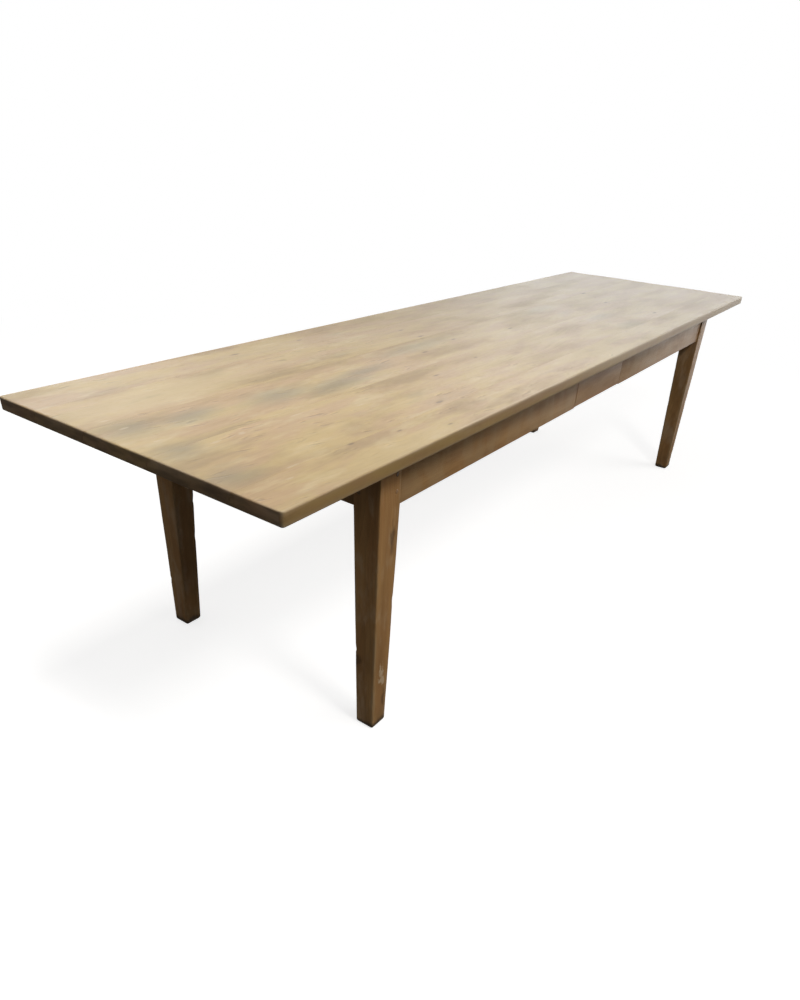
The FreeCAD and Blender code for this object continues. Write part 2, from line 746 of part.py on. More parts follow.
def make_drawer():
    """The drawer: lapped dovetails at the front, through dovetails at the back, a floor in grooves."""
    run = "(place.drawer_end_y - place.drawer_front_inside_y)"
    run_middle = "(place.drawer_end_y + place.drawer_front_inside_y) / 2"
    wall_run = "(place.drawer_back_inside_y - place.drawer_front_inside_y)"
    wall_middle = "(place.drawer_back_inside_y + place.drawer_front_inside_y) / 2"
    groove_span = "(place.drawer_inside + 2 * size.drawer_groove)"
    front_sockets = []
    back_sockets = []
    for hand, towards_end in SIDES.items():
        label = f"drawer_side_{hand}"
        x = f"{towards_end} * (place.drawer_half - size.drawer_wall / 2)"
        wall = block(
            f"{label}_wall",
            (x, wall_middle, "place.drawer_side_base"),
            ("size.drawer_wall", wall_run, "place.drawer_side_height"),
        )
        heel = block(
            f"{label}_heel",
            (x, "place.drawer_back_inside_y + size.drawer_wall / 2", "place.drawer_side_base"),
            (
                "size.drawer_wall",
                "size.drawer_wall",
                "place.drawer_floor_top - place.drawer_side_base",
            ),
        )
        tails = drawer_tails(f"{label}_front_tail", towards_end, FRONT, "0")
        tails += drawer_tails(f"{label}_back_tail", towards_end, BACK, "0")
        groove = floor_groove(
            f"{label}_groove",
            ("0", run_middle),
            (groove_span, f"{run} + 2 * (place.front_tail_length + size.cut_overrun)"),
        )
        subpart(cut(label, fuse(f"{label}_whole", [wall, heel] + tails), [groove]), label)
        front_sockets += drawer_tails(f"{label}_front_socket", towards_end, FRONT, "size.drawer_fit")
        back_sockets += drawer_tails(f"{label}_back_socket", towards_end, BACK, "size.drawer_fit")
    front = block(
        "drawer_front_board",
        ("0", "place.drawer_face_y + size.drawer_front_thickness / 2", "place.drawer_front_base"),
        ("2 * place.drawer_half", "size.drawer_front_thickness", "place.drawer_front_height"),
    )
    front_groove = floor_groove(
        "drawer_front_groove",
        ("0", "place.drawer_front_inside_y"),
        (groove_span, "2 * size.drawer_groove"),
    )
    subpart(cut("drawer_front", front, front_sockets + [front_groove]), "drawer_front")
    starts = []
    for share in FLOOR_NAIL_SHARES:
        across = f"{share} * place.drawer_inside"
        along = "place.drawer_back_inside_y + size.drawer_wall / 2"
        starts.append((across, along, "place.drawer_floor_base"))
    nail_holes = nails("drawer_bottom_nails", starts, "pin", "size.drawer_floor + size.pin_bite")
    back = block(
        "drawer_back_board",
        ("0", "place.drawer_back_inside_y + size.drawer_wall / 2", "place.drawer_floor_top"),
        ("2 * place.drawer_half", "size.drawer_wall", "place.drawer_back_height"),
    )
    subpart(cut("drawer_back", back, back_sockets + nail_holes), "drawer_back")
    floor_run = f"({run} + size.drawer_groove - size.drawer_fit)"
    floor = block(
        "drawer_bottom_board",
        ("0", f"place.drawer_end_y - {floor_run} / 2", "place.drawer_floor_base"),
        (f"{groove_span} - 2 * size.drawer_fit", floor_run, "size.drawer_floor"),
    )
    subpart(cut("drawer_bottom", floor, nail_holes), "drawer_bottom")


def check_all():
    """Stops before anything is written if any piece failed."""
    for piece in document.Objects:
        if {"Invalid", "Error"} & set(piece.State):
            raise RuntimeError(f"{piece.Label} failed: {piece.State}")
    for piece in subparts:
        if piece.Shape.isNull() or not piece.Shape.isValid() or not piece.Shape.Solids:
            raise RuntimeError(f"{piece.Label} has no sound shape")


def write_all():
    """Writes each sub-part to a file of its own name."""
    os.makedirs("parts", exist_ok=True)
    for piece in subparts:
        piece.Shape.exportStep(f"parts/{piece.Label}.step")


make_frame()
bearer_nail_holes = make_bearers()
for plank in range(1, PLANK_COUNT + 1):
    make_plank(plank, bearer_nail_holes[plank - 1::PLANK_COUNT])
make_runners()
make_drawer()
document.recompute()
check_all()
write_all()
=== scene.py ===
import math
import random
from functools import reduce

import bmesh
import bpy
from bpy.props import FloatProperty, FloatVectorProperty, IntProperty, PointerProperty
from mathutils import Matrix, Vector, noise


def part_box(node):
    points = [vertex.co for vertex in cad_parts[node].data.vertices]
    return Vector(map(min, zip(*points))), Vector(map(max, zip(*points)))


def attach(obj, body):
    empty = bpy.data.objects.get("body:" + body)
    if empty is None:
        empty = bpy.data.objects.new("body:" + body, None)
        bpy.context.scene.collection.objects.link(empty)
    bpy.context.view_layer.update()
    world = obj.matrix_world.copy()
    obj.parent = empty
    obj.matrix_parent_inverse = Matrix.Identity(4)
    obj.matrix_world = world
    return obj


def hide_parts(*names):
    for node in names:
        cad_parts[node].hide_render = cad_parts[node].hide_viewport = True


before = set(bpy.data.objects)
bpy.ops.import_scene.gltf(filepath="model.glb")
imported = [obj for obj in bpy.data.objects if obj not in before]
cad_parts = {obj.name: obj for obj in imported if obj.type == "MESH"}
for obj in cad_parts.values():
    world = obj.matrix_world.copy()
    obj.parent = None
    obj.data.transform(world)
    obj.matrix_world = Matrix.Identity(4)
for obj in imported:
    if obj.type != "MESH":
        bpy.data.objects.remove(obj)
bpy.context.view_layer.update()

bl_info = {
    "name": "Refectory Table",
    "version": (1, 0, 0),
    "blender": (4, 5, 0),
    "location": "3D View > Sidebar > Table",
    "description": "Dresses a long plank-topped dining table in old waxed wood",
    "category": "Object",
}

# Pieces of the table

PLANK_NODES = [f"top_plank_{number}" for number in range(1, 6)]
LEG_NODES = ["leg_front_left", "leg_front_right", "leg_back_right", "leg_back_left"]
BEARER_NODES = [f"bearer_{number}" for number in range(1, 5)]
APRON_NODES = ["front_apron", "back_apron", "end_apron_left", "end_apron_right"]
RUNNER_NODES = [
    "drawer_runner_left", "drawer_runner_right", "drawer_guide_left", "drawer_guide_right", "drawer_stops",
]

# The axes along, across and through a board that lies along x, y or z
ALONG = {"x": (0, 1, 2), "y": (1, 0, 2), "z": (2, 0, 1)}

# Where the grain of the first board of a kind starts, and how much further on that of each next board does
PLANK_GRAIN = (0.0, 7.3)
LEG_GRAIN = (31.0, 3.7)
APRON_GRAIN = (61.0, 5.1)
DRAWER_FRONT_GRAIN = 77.0
INNER_GRAIN = (90.0, 2.3)

# How much darker than other frame wood the aprons and the drawer front are
APRON_TONE = -2.8
DRAWER_FRONT_TONE = -2.4

# Lengths in metres
TONGUE_DEPTH = 0.009
TONGUE_HALF = 0.005
GROOVE_DEPTH = 0.010
GROOVE_PLAY = 0.0002
PLANK_MARGIN = 0.007
FOOT_WIDTH = 0.052
FOOT_MARGIN = 0.004
FOOT_HEIGHT = 0.02
ARRIS_SEAM = 0.006
FRAME_SEAM = 0.006
INNER_SEAM = 0.004
PEG_SINK = 0.0006
PEG_CROWN = 0.0007
PEG_PLAY = 0.001
NAIL_RISE = 0.0020
PIN_RISE = 0.0012

# How finely planks and legs are divided along their length, and how many nicks each leg has
HALF_PLANK_STEPS = 75
FOOT_STEPS = 6
LEG_STEPS = 74
HEAD_STEPS = 8
NICK_COUNT = 9

# Angles between faces: those that count as flat, as an edge to ease, and as sharp on boards and on fixings
FLAT_ANGLE, EASED_ANGLE = math.radians(1), math.radians(30)
BOARD_ANGLE, FIXING_ANGLE = math.radians(35), math.radians(20)

# Seeds of the random draws
PLANK_SEED, LEG_SEED, APRON_SEED = 11, 23, 37
BEARER_SEED, RUNNER_SEED, DRAWER_SIDE_SEED, DRAWER_BOARD_SEED = 41, 53, 59, 67

# Small knots in the top: along the table, across it, and radius, in metres
TOP_KNOTS = [
    (-1.206, -0.320, 0.008),
    (-1.073, -0.345, 0.007),
    (-0.958, -0.401, 0.006),
    (-0.897, 0.353, 0.011),
    (-0.645, 0.349, 0.007),
    (-0.659, -0.163, 0.009),
    (-0.844, -0.297, 0.011),
    (-0.316, 0.126, 0.010),
    (-0.297, 0.219, 0.008),
    (-0.267, 0.033, 0.008),
    (-0.473, 0.002, 0.010),
    (-0.414, -0.138, 0.007),
    (0.026, -0.015, 0.010),
    (0.935, 0.109, 0.014),
    (0.798, -0.050, 0.012),
    (0.750, -0.277, 0.011),
]

# Soft grey-brown stains in the top: along, across, half length, half width
TOP_STAINS = [
    (-1.075, 0.010, 0.085, 0.034),
    (-0.900, -0.030, 0.120, 0.030),
    (-0.766, 0.002, 0.090, 0.022),
    (0.427, 0.069, 0.110, 0.030),
    (0.495, -0.153, 0.090, 0.024),
    (0.456, -0.291, 0.100, 0.026),
    (-1.473, -0.275, 0.050, 0.036),
    (-1.460, -0.100, 0.040, 0.032),
    (-1.445, 0.060, 0.060, 0.042),
    (-1.317, 0.037, 0.065, 0.030),
    (-0.420, 0.060, 0.160, 0.028),
]

# A pale stretch painted on the top as a highlight where the wax catches the light, measured in the same way
TOP_PAINTED_HIGHLIGHTS = [(-1.280, 0.200, 0.260, 0.055)]

# Small nicks in the top, each painted pale as a highlight, measured in the same way
TOP_NICKS_WITH_HIGHLIGHTS = [
    (-1.455, 0.072, 0.012, 0.0050),
    (-1.458, 0.136, 0.010, 0.0045),
    (-1.451, -0.031, 0.013, 0.0035),
    (-1.381, -0.119, 0.014, 0.0045),
    (-1.312, -0.118, 0.008, 0.0080),
    (-1.368, -0.312, 0.018, 0.0030),
    (-1.410, -0.348, 0.011, 0.0030),
    (-1.145, -0.118, 0.024, 0.0030),
    (-0.998, -0.176, 0.016, 0.0030),
]

# Scuffs and dark marks on the near leg: middle and reach of each
LEG_SCUFFS = [
    ((-1.157, -0.384, 0.165), (0.010, 0.012, 0.026)),
    ((-1.150, -0.384, 0.145), (0.007, 0.012, 0.016)),
]
LEG_MARKS = [
    ((-1.134, -0.384, 0.536), (0.006, 0.020, 0.026)),
    ((-1.144, -0.384, 0.089), (0.006, 0.012, 0.024)),
    ((-1.185, -0.333, 0.201), (0.012, 0.010, 0.012)),
]

# Camera and lamps
CAMERA_PLACE = (-2.254359, -1.180534, 1.277790)
CAMERA_AHEAD = (0.7040975, 0.4774815, -0.5256026)
CAMERA_RIGHT = (0.5863251, -0.8084694, 0.0509908)
CAMERA_SHIFT = (-0.00396, 0.08077)
SENSOR_WIDTH = 36.0
SIGHT = 500.0
KEY_PLACE, KEY_TARGET = (-1.30, -2.20, 3.05), (-1.05, -0.30, 0.60)
OVERHEAD_PLACE, OVERHEAD_TARGET = (-1.18, 0.18, 2.40), (-1.18, 0.18, 0.0)
LAMP_COLOUR = (1.0, 0.975, 0.94)
FLOOR_REACH = 60.0
WHITE = (1.0, 1.0, 1.0, 1.0)

# The middle of a noise's range, and the parts of a place that count in plan and round a pith
MIDDLE_GREY = (0.5, 0.5, 0.5)
IN_PLAN = (1.0, 1.0, 0.0)
ROUND_THE_PITH = (0.0, 1.0, 1.0)


# Node helpers

class Value:
    """A node's output, which takes +, - and * as numbers do, by way of math nodes."""

    def __init__(self, socket):
        self.socket = socket
        self.tree = socket.id_data

    def __add__(self, other):
        return sum_of("ADD", self, other)

    def __sub__(self, other):
        return sum_of("SUBTRACT", self, other)

    def __rsub__(self, other):
        return sum_of("SUBTRACT", other, self)

    def __mul__(self, other):
        return sum_of("MULTIPLY", self, other)


def new_node(tree, kind, sockets=None, **settings):
    """A node with its settings, and its sockets set to values or joined to other nodes' outputs."""
    made = tree.nodes.new(kind)
    for name, setting in settings.items():
        setattr(made, name, setting)
    for key, source in (sockets or {}).items():
        if isinstance(source, Value):
            tree.links.new(source.socket, made.inputs[key])
        else:
            made.inputs[key].default_value = source
    return made


def step(tree, kind, sockets=None, output=0, **settings):
    """One output of a new node."""
    return Value(new_node(tree, kind, sockets, **settings).outputs[output])


def outputs(tree, kind, sockets=None, **settings):
    """All outputs of a new node, by name."""
    return {socket.name: Value(socket) for socket in new_node(tree, kind, sockets, **settings).outputs}


def tree_of(terms):
    """The node tree of the outputs among some terms."""
    return next(term.tree for term in terms if isinstance(term, Value))


def sum_of(operation, *terms, clamp=False):
    """The output of one math node."""
    sockets = dict(enumerate(terms))
    return step(tree_of(terms), "ShaderNodeMath", sockets, operation=operation, use_clamp=clamp)


def greatest(*terms):
    """The greatest of several outputs."""
    return reduce(lambda first, second: sum_of("MAXIMUM", first, second), terms)


def vector_sum(operation, *terms, output=0):
    """The output of one vector math node."""
    return step(tree_of(terms), "ShaderNodeVectorMath", dict(enumerate(terms)), output, operation=operation)


def far_out(place):
    """How far a place lies from its origin."""
    return vector_sum("LENGTH", place, output="Value")


def scaled(shown, shade):
    """A colour or place made larger or smaller by a share."""
    tree = tree_of((shown, shade))
    return step(tree, "ShaderNodeVectorMath", {0: shown, "Scale": shade}, operation="SCALE")


def remap(value, low, high, to_low=0.0, to_high=1.0, smooth=True):
    """A value brought from one range to another and held there."""
    sockets = {0: value, 1: low, 2: high, 3: to_low, 4: to_high}
    kind = "SMOOTHSTEP" if smooth else "LINEAR"
    return step(value.tree, "ShaderNodeMapRange", sockets, interpolation_type=kind)


def between(value, rise_from, rise_to, fall_from, fall_to):
    """1 on a stretch of a value's range, falling off softly to 0 on both sides."""
    return remap(value, rise_from, rise_to) - remap(value, fall_from, fall_to)


def opaque(shown):
    """A colour setting with full opacity, as a socket wants it; an output stays what it is."""
    return shown if isinstance(shown, Value) else (*shown, 1.0)


def blend(share, first, second, kind="MIX"):
    """Two colours laid over each other."""
    sockets = {0: share, 6: opaque(first), 7: opaque(second)}
    return step(share.tree, "ShaderNodeMix", sockets, 2, data_type="RGBA", blend_type=kind)


def grain_noise(place, stretch, detail=3.0, rough=0.55, output="Fac"):
    """Noise stretched along the grain: how many waves to a metre along, across and through the board."""
    waves = vector_sum("MULTIPLY", place, stretch)
    sockets = {"Vector": waves, "Scale": 1.0, "Detail": detail, "Roughness": rough}
    return step(place.tree, "ShaderNodeTexNoise", sockets, output)


def shift_noise(place, stretch, amount, detail=3.0):
    """Noise that shifts a place by up to half an amount each way."""
    shift = vector_sum("SUBTRACT", grain_noise(place, stretch, detail, output="Color"), MIDDLE_GREY)
    return vector_sum("MULTIPLY", shift, amount)


def ripple(place, amount, stretch):
    """A place shifted a little by noise, so that no outline is too clean."""
    return vector_sum("ADD", place, shift_noise(place, stretch, amount))


def figure(place, settings):
    """Wood figure in the round: growth rings about a pith, streaks, fibres and clouds along the grain."""
    drift = shift_noise(place, (0.9, 5.0, 5.0), ROUND_THE_PITH, detail=2.0)
    wandered = vector_sum("ADD", place, scaled(drift, settings.wander))
    radius = far_out(vector_sum("MULTIPLY", wandered, ROUND_THE_PITH))
    shiver = grain_noise(place, (2.2, 45.0, 45.0), detail=2.0)
    years = sum_of("DIVIDE", radius, settings.ring_width) + shiver * 1.1
    season, year = sum_of("FRACT", years), sum_of("FLOOR", years)
    return {
        "Ring": sum_of("POWER", season, 3.0) * remap(season, 0.94, 1.0, 1.0, 0.0),
        "Ring Tone": step(place.tree, "ShaderNodeTexWhiteNoise", {"W": year}, noise_dimensions="1D"),
        "Streak": grain_noise(place, (1.3, 38.0, 38.0), detail=4.0),
        "Fibre": grain_noise(place, (16.0, 700.0, 700.0)),
        "Cloud": grain_noise(place, (3.2, 11.0, 11.0), detail=4.0),
    }


def nearest_spot(place, spots):
    """How near a point lies to the nearest of several oval spots, each a middle and a reach.

    It is 1 in the middle of a spot and 0 at twice its reach."""
    near = []
    for middle, reach in spots:
        apart = vector_sum("DIVIDE", vector_sum("SUBTRACT", place, middle), reach)
        near.append(remap(far_out(apart), 2.0, 0.0, smooth=False))
    return greatest(*near)


def ovals(rows):
    """Spots in plan from rows of along, across, half length and half width."""
    return [((x, y, 0.0), (half_length, half_width, 1.0)) for x, y, half_length, half_width in rows]


def dents(flat):
    """Short dents and bruises strewn over a board, their length turned a little from the grain."""
    strewn = []
    for turn, least in ((0.30, 0.615), (-0.08, 0.625)):
        turned = step(flat.tree, "ShaderNodeMapping", {"Vector": flat, "Rotation": (0.0, 0.0, turn)})
        strewn.append(remap(grain_noise(turned, (13.0, 64.0, 1.0)), least, least + 0.08))
    return greatest(*strewn)


def named(tree, attribute, output="Fac"):
    """A piece's own attribute in a material."""
    return step(tree, "ShaderNodeAttribute", output=output, attribute_name=attribute)


def fresh_material(name):
    """An empty node material and its tree."""
    material = bpy.data.materials.new(name)
    material.use_nodes = True
    material.node_tree.nodes.clear()
    return material, material.node_tree


def fresh_wood(name, settings):
    """An empty wood material and its tree, with its boards' grain, tone and wear, and the wood's figure."""
    material, tree = fresh_material(name)
    grain = named(tree, "grain", "Vector")
    return material, tree, grain, named(tree, "tone"), named(tree, "wear"), figure(grain, settings)


def place_in(tree):
    """The place of each point of a piece."""
    return step(tree, "ShaderNodeTexCoord", output="Object")


def finish(tree, sockets, height, strength, depth):
    """A material's shader with its sockets, and relief from a height."""
    relief = step(tree, "ShaderNodeBump", {"Strength": strength, "Distance": depth, "Height": height})
    shader = step(tree, "ShaderNodeBsdfPrincipled", {**sockets, "Normal": relief})
    new_node(tree, "ShaderNodeOutputMaterial", {"Surface": shader})


# Finishes

def top_wood(settings):
    """Old honey-coloured plank wood, waxed and worn, with knots and grey stains where this top has them."""
    material, tree, grain, tone, wear, wood = fresh_wood("waxed_top_wood", settings)
    edge, end, under = (named(tree, side) for side in ("edge", "end", "under"))
    place = place_in(tree)
    flat = vector_sum("MULTIPLY", place, IN_PLAN)
    brown = settings.brown_colour

    # The near end is marked most, the far end least.
    along = step(tree, "ShaderNodeSeparateXYZ", {0: place}, "X")
    lively = remap(along, -0.9, -0.1, 1.28, 0.70) * remap(along, 0.7, 1.3, 1.0, 0.66)

    # Bands, pale patches and brown clouds
    band = grain_noise(grain, (3.4, 14.0, 14.0))
    fleck = grain_noise(grain, (11.0, 30.0, 30.0))
    patch = grain_noise(grain, (7.5, 22.0, 22.0), detail=3.5)
    shown = blend(remap(fleck * 0.30 + band * 0.70, 0.42, 0.58), settings.golden_colour, settings.pink_colour)
    shown = blend(remap(patch, 0.52, 0.72, 0.0, 0.60) * lively, shown, settings.pale_colour)
    shown = blend(remap(wood["Cloud"], 0.46, 0.72, 0.0, 0.62) * lively, shown, brown)

    # Dents, darker inside, each with a painted highlight on a lip beside it
    upper = 1.0 - greatest(edge, end)
    used = remap(grain_noise(flat, (3.5, 8.0, 1.0), detail=2.0), 0.38, 0.60) * (upper * lively)
    hollow = dents(flat)
    beside = dents(vector_sum("ADD", flat, (0.002, -0.006, 0.0)))
    painted_lip_highlight = sum_of("SUBTRACT", beside, hollow, clamp=True) * used
    dent = hollow * used

    # Growth rings and fine lines
    clear = remap(grain_noise(grain, (1.2, 7.0, 7.0), detail=2.0), 0.40, 0.62, 0.02, 0.11)
    broken = grain_noise(grain, (13.0, 52.0, 52.0))
    lines = 0.155 - wood["Streak"] * 0.06 - broken * 0.18 - wood["Fibre"] * 0.07
    shade = 1.0 - wood["Ring"] * clear - wood["Ring Tone"] * 0.03 + lines * lively
    # Dents darken the colour, and a painted highlight lightens it on the lip beside each dent.
    shade = shade + tone * 0.03 - dent * 0.20 + painted_lip_highlight * 0.12
    shown = scaled(shown, shade)

    # Stains, knots, a painted highlight, and nicks each with a painted highlight
    smeared = ripple(flat, (0.10, 0.045, 0.0), (6.0, 22.0, 0.0))
    # A painted highlight: a pale stretch near the near end of the top.
    painted_highlight = remap(nearest_spot(smeared, ovals(TOP_PAINTED_HIGHLIGHTS)), 0.0, 1.0, 0.0, 0.80)
    shown = blend(painted_highlight, shown, settings.pale_colour)
    spread = remap(grain_noise(flat, (3.2, 11.0, 1.0), detail=4.0, rough=0.6), 0.56, 0.76, 0.0, 0.30)
    stain = greatest(remap(nearest_spot(smeared, ovals(TOP_STAINS)), 0.0, 1.0, 0.0, 0.52), spread) * lively
    shown = blend(stain, shown, settings.stain_colour)
    loose = ripple(flat, (0.016, 0.005, 0.0), (40.0, 130.0, 0.0))
    knot = nearest_spot(loose, ovals((x, y, radius * 1.5, radius * 0.5) for x, y, radius in TOP_KNOTS))
    core = remap(knot, 0.40, 0.80, 0.0, 0.60)
    shown = blend(remap(knot, 0.0, 0.7, 0.0, 0.30), shown, brown)
    shown = blend(core, shown, settings.knot_colour)
    nick_and_highlight = remap(nearest_spot(loose, ovals(TOP_NICKS_WITH_HIGHLIGHTS)), 0.35, 0.75) * upper
    # Each nick is painted pale as a highlight; the relief further down presses it in.
    shown = blend(nick_and_highlight * 0.40, shown, settings.rubbed_and_highlight_colour)

    # Rubbed rim, partly wear and partly a painted highlight, darker edges and sooty ends
    shown = blend(wear * remap(wood["Cloud"], 0.35, 0.60, 0.12, 0.60), shown, settings.rubbed_and_highlight_colour)
    shown = blend(edge, shown, settings.edge_tint, "MULTIPLY")
    soot = grain_noise(place, (40.0, 14.0, 60.0))
    soaked = scaled(settings.end_tint[:], remap(soot, 0.35, 0.65, 1.18, 0.74))
    shown = blend(end, shown, soaked, "MULTIPLY")

    # Sawn, dusty underside
    sawn = blend(remap(wood["Streak"], 0.34, 0.68, 0.0, 0.65), settings.bare_colour, brown)
    dusty = scaled(blend(wood["Ring"] * 0.35, sawn, brown), shade)

    scuff = grain_noise(flat, (55.0, 130.0, 1.0), detail=4.0)
    dull = remap(wood["Cloud"], 0.30, 0.75, -0.04, 0.04) + remap(scuff, 0.45, 0.75) * 0.06
    rough = sum_of("ADD", dull * lively + 0.41, under * 0.40, clamp=True)
    height = wood["Fibre"] * 0.25 - wood["Ring"] * 0.10 + scuff * 0.25 - dent - greatest(core, nick_and_highlight) * 0.8
    sockets = {
        "Base Color": blend(under, shown, dusty), "Roughness": rough, "Specular IOR Level": settings.sheen,
    }
    finish(tree, sockets, height * lively, 0.22, 0.0010)
    return material


def frame_wood(settings):
    """The darker, redder waxed wood of legs, aprons and drawer front, with rubbed arrises that are partly a
    painted highlight, and grimy feet.
    """
    material, tree, grain, tone, wear, wood = fresh_wood("waxed_frame_wood", settings)
    place = place_in(tree)
    dark, knot = settings.dark_colour, settings.knot_colour

    # Bands, clouds and bleached patches
    shown = blend(
        remap(grain_noise(grain, (1.4, 30.0, 30.0)), 0.36, 0.64), settings.light_colour, settings.red_colour)
    shown = blend(remap(wood["Cloud"], 0.44, 0.76, 0.0, 0.60), shown, dark)
    patch = grain_noise(grain, (9.0, 26.0, 26.0), detail=3.5)
    bleached = remap(patch, 0.47, 0.67) * remap(tone, -2.0, -1.0, 0.15, 0.55)
    shown = blend(bleached, shown, settings.faded_colour)
    shown = blend(wood["Ring"] * 0.30, shown, dark)
    shown = scaled(shown, 1.31 - wood["Streak"] * 0.36 - wood["Fibre"] * 0.26 + tone * 0.07)

    # Knots, strewn at random
    knot_place = ripple(vector_sum("MULTIPLY", grain, (2.6, 7.0, 7.0)), (0.2, 0.2, 0.2), (6.0, 6.0, 6.0))
    cells = outputs(tree, "ShaderNodeTexVoronoi", {"Vector": knot_place, "Scale": 1.0}, feature="F1")
    seldom = remap(step(tree, "ShaderNodeSeparateColor", {0: cells["Color"]}), 0.74, 0.76)
    halo = remap(cells["Distance"], 0.26, 0.05, 0.0, 0.6) * seldom
    core = remap(cells["Distance"], 0.115, 0.055) * seldom
    shown = blend(core * 0.85, blend(halo, shown, dark), knot)

    # Grime low down, rubbed arrises partly painted as highlights, and the dark rims of the feet
    height_up = step(tree, "ShaderNodeSeparateXYZ", {0: place}, "Z")
    smudge = grain_noise(place, (22.0, 22.0, 9.0), detail=4.0)
    low = remap(height_up, 0.10, 0.0) * remap(smudge, 0.32, 0.62)
    shown = blend(low * 0.38, shown, settings.grime_colour)
    # Pale arrises: partly wear and partly a painted highlight.
    shown = blend(wear * remap(smudge, 0.38, 0.62, 0.05, 0.70), shown, settings.rubbed_and_highlight_colour)
    rim = remap(height_up - smudge * 0.030, 0.009, -0.006, 0.0, 0.80)
    shown = blend(rim, shown, settings.grime_colour)

    # Scuffs and marks of the near leg
    ragged = ripple(place, (0.026, 0.0, 0.070), (75.0, 75.0, 32.0))
    speck = grain_noise(place, (190.0, 190.0, 80.0), detail=4.0)
    scuff = remap(nearest_spot(ragged, LEG_SCUFFS) + speck * 1.6, 1.15, 1.50, 0.0, 0.80)
    shown = blend(scuff, shown, settings.scuff_colour)
    shown = blend(remap(nearest_spot(ragged, LEG_MARKS), 0.10, 0.80, 0.0, 0.60), shown, knot)
    shown = blend(named(tree, "end"), shown, settings.end_tint, "MULTIPLY")

    rough = sum_of("ADD", remap(wood["Cloud"], 0.30, 0.75, 0.34, 0.50), low * 0.25, clamp=True)
    height = wood["Fibre"] - wood["Ring"] * 0.5 + smudge * 0.6
    sockets = {"Base Color": shown, "Roughness": rough, "Specular IOR Level": settings.sheen}
    finish(tree, sockets, height, 0.35, 0.0010)
    return material


def inner_wood(settings):
    """Bare, dusty wood under the top and in the drawer, with the marks of the saw across it."""
    material, tree, grain, tone, wear, wood = fresh_wood("bare_inner_wood", settings)
    pale, dark = settings.pale_colour, settings.dark_colour
    shown = blend(remap(wood["Streak"], 0.34, 0.68), pale, settings.dry_colour)
    shown = blend(wood["Ring"] * 0.40, shown, dark)
    shown = blend(remap(wood["Cloud"], 0.50, 0.80, 0.0, 0.55), shown, dark)
    fibre = remap(wood["Fibre"], 0.25, 0.75, 0.86, 1.10, smooth=False)
    shown = scaled(shown, fibre * (tone * 0.12 + 1.0))
    shown = blend(wear * 0.35, shown, pale)
    teeth = grain_noise(grain, (330.0, 6.0, 6.0), detail=2.0)
    sockets = {"Base Color": shown, "Roughness": 0.78, "Specular IOR Level": 0.25}
    finish(tree, sockets, teeth * 0.8 + wood["Fibre"], 0.45, 0.0012)
    return material


def peg_wood(settings):
    """Dark riven pegs, their cut ends soaked with wax and dirt."""
    material, tree = fresh_material("riven_peg_wood")
    place = place_in(tree)
    speck = grain_noise(place, (420.0, 420.0, 420.0), detail=4.0)
    mottle = grain_noise(place, (60.0, 60.0, 60.0), detail=2.0)
    dark = settings.peg_dark_colour
    soaked = remap(mottle * 0.5 + named(tree, "tone") * 0.5, 0.10, 0.65)
    shown = blend(soaked, dark, settings.peg_light_colour)
    shown = blend(remap(speck, 0.45, 0.75, 0.0, 0.5), shown, dark)
    finish(tree, {"Base Color": shown, "Roughness": 0.55}, speck, 0.5, 0.0006)
    return material


def forged_iron(settings):
    """Black hammered iron with a bloom of rust."""
    material, tree = fresh_material("forged_iron")
    place = place_in(tree)
    hammer = grain_noise(place, (260.0, 260.0, 260.0))
    rusty = remap(grain_noise(place, (90.0, 90.0, 90.0), detail=5.0), 0.48, 0.66, 0.0, 0.8)
    sockets = {
        "Base Color": blend(rusty, settings.iron_colour, settings.rust_colour),
        "Metallic": remap(rusty, 0.0, 0.8, 0.75, 0.0, smooth=False),
        "Roughness": remap(hammer, 0.3, 0.7, 0.45, 0.75, smooth=False),
    }
    finish(tree, sockets, hammer, 0.6, 0.0008)
    return material


# Mesh helpers

def waver(place, scale, seed):
    """Smooth noise from -1 to 1 at a place, the same on every run."""
    return noise.noise(Vector(place) * scale + Vector((seed * 17.31, seed * 5.77, seed * 9.13)))


def quarter_turn(steps=4):
    """Even angles from nothing to a right angle."""
    return [index / steps * math.pi / 2 for index in range(steps + 1)]


def spaced(first, last, steps):
    """Even places after the first, up to the last."""
    return [first + (last - first) * index / steps for index in range(1, steps + 1)]


def mark(mesh, name, values, kind="FLOAT", domain="POINT"):
    """Gives a mesh an attribute of its own."""
    key = "value" if kind == "FLOAT" else "vector"
    mesh.attributes.new(name, kind, domain).data.foreach_set(key, values)


def loft(name, loops):
    """A closed mesh through rings of (place, wear) points, with a face over each end."""
    count = len(loops[0])
    points = [place for loop in loops for place, _ in loop]
    faces = [list(range(count))[::-1], list(range(len(points) - count, len(points)))]
    for low in range(0, len(points) - count, count):
        for index in range(count):
            following = (index + 1) % count
            high = low + count
            faces.append([low + index, low + following, high + following, high + index])
    mesh = bpy.data.meshes.new(name)
    mesh.from_pydata(points, [], faces)
    mark(mesh, "wear", [wear for loop in loops for _, wear in loop])
    closed = bmesh.new()
    closed.from_mesh(mesh)
    bmesh.ops.recalc_face_normals(closed, faces=closed.faces)
    closed.to_mesh(mesh)
    closed.free()
    return mesh


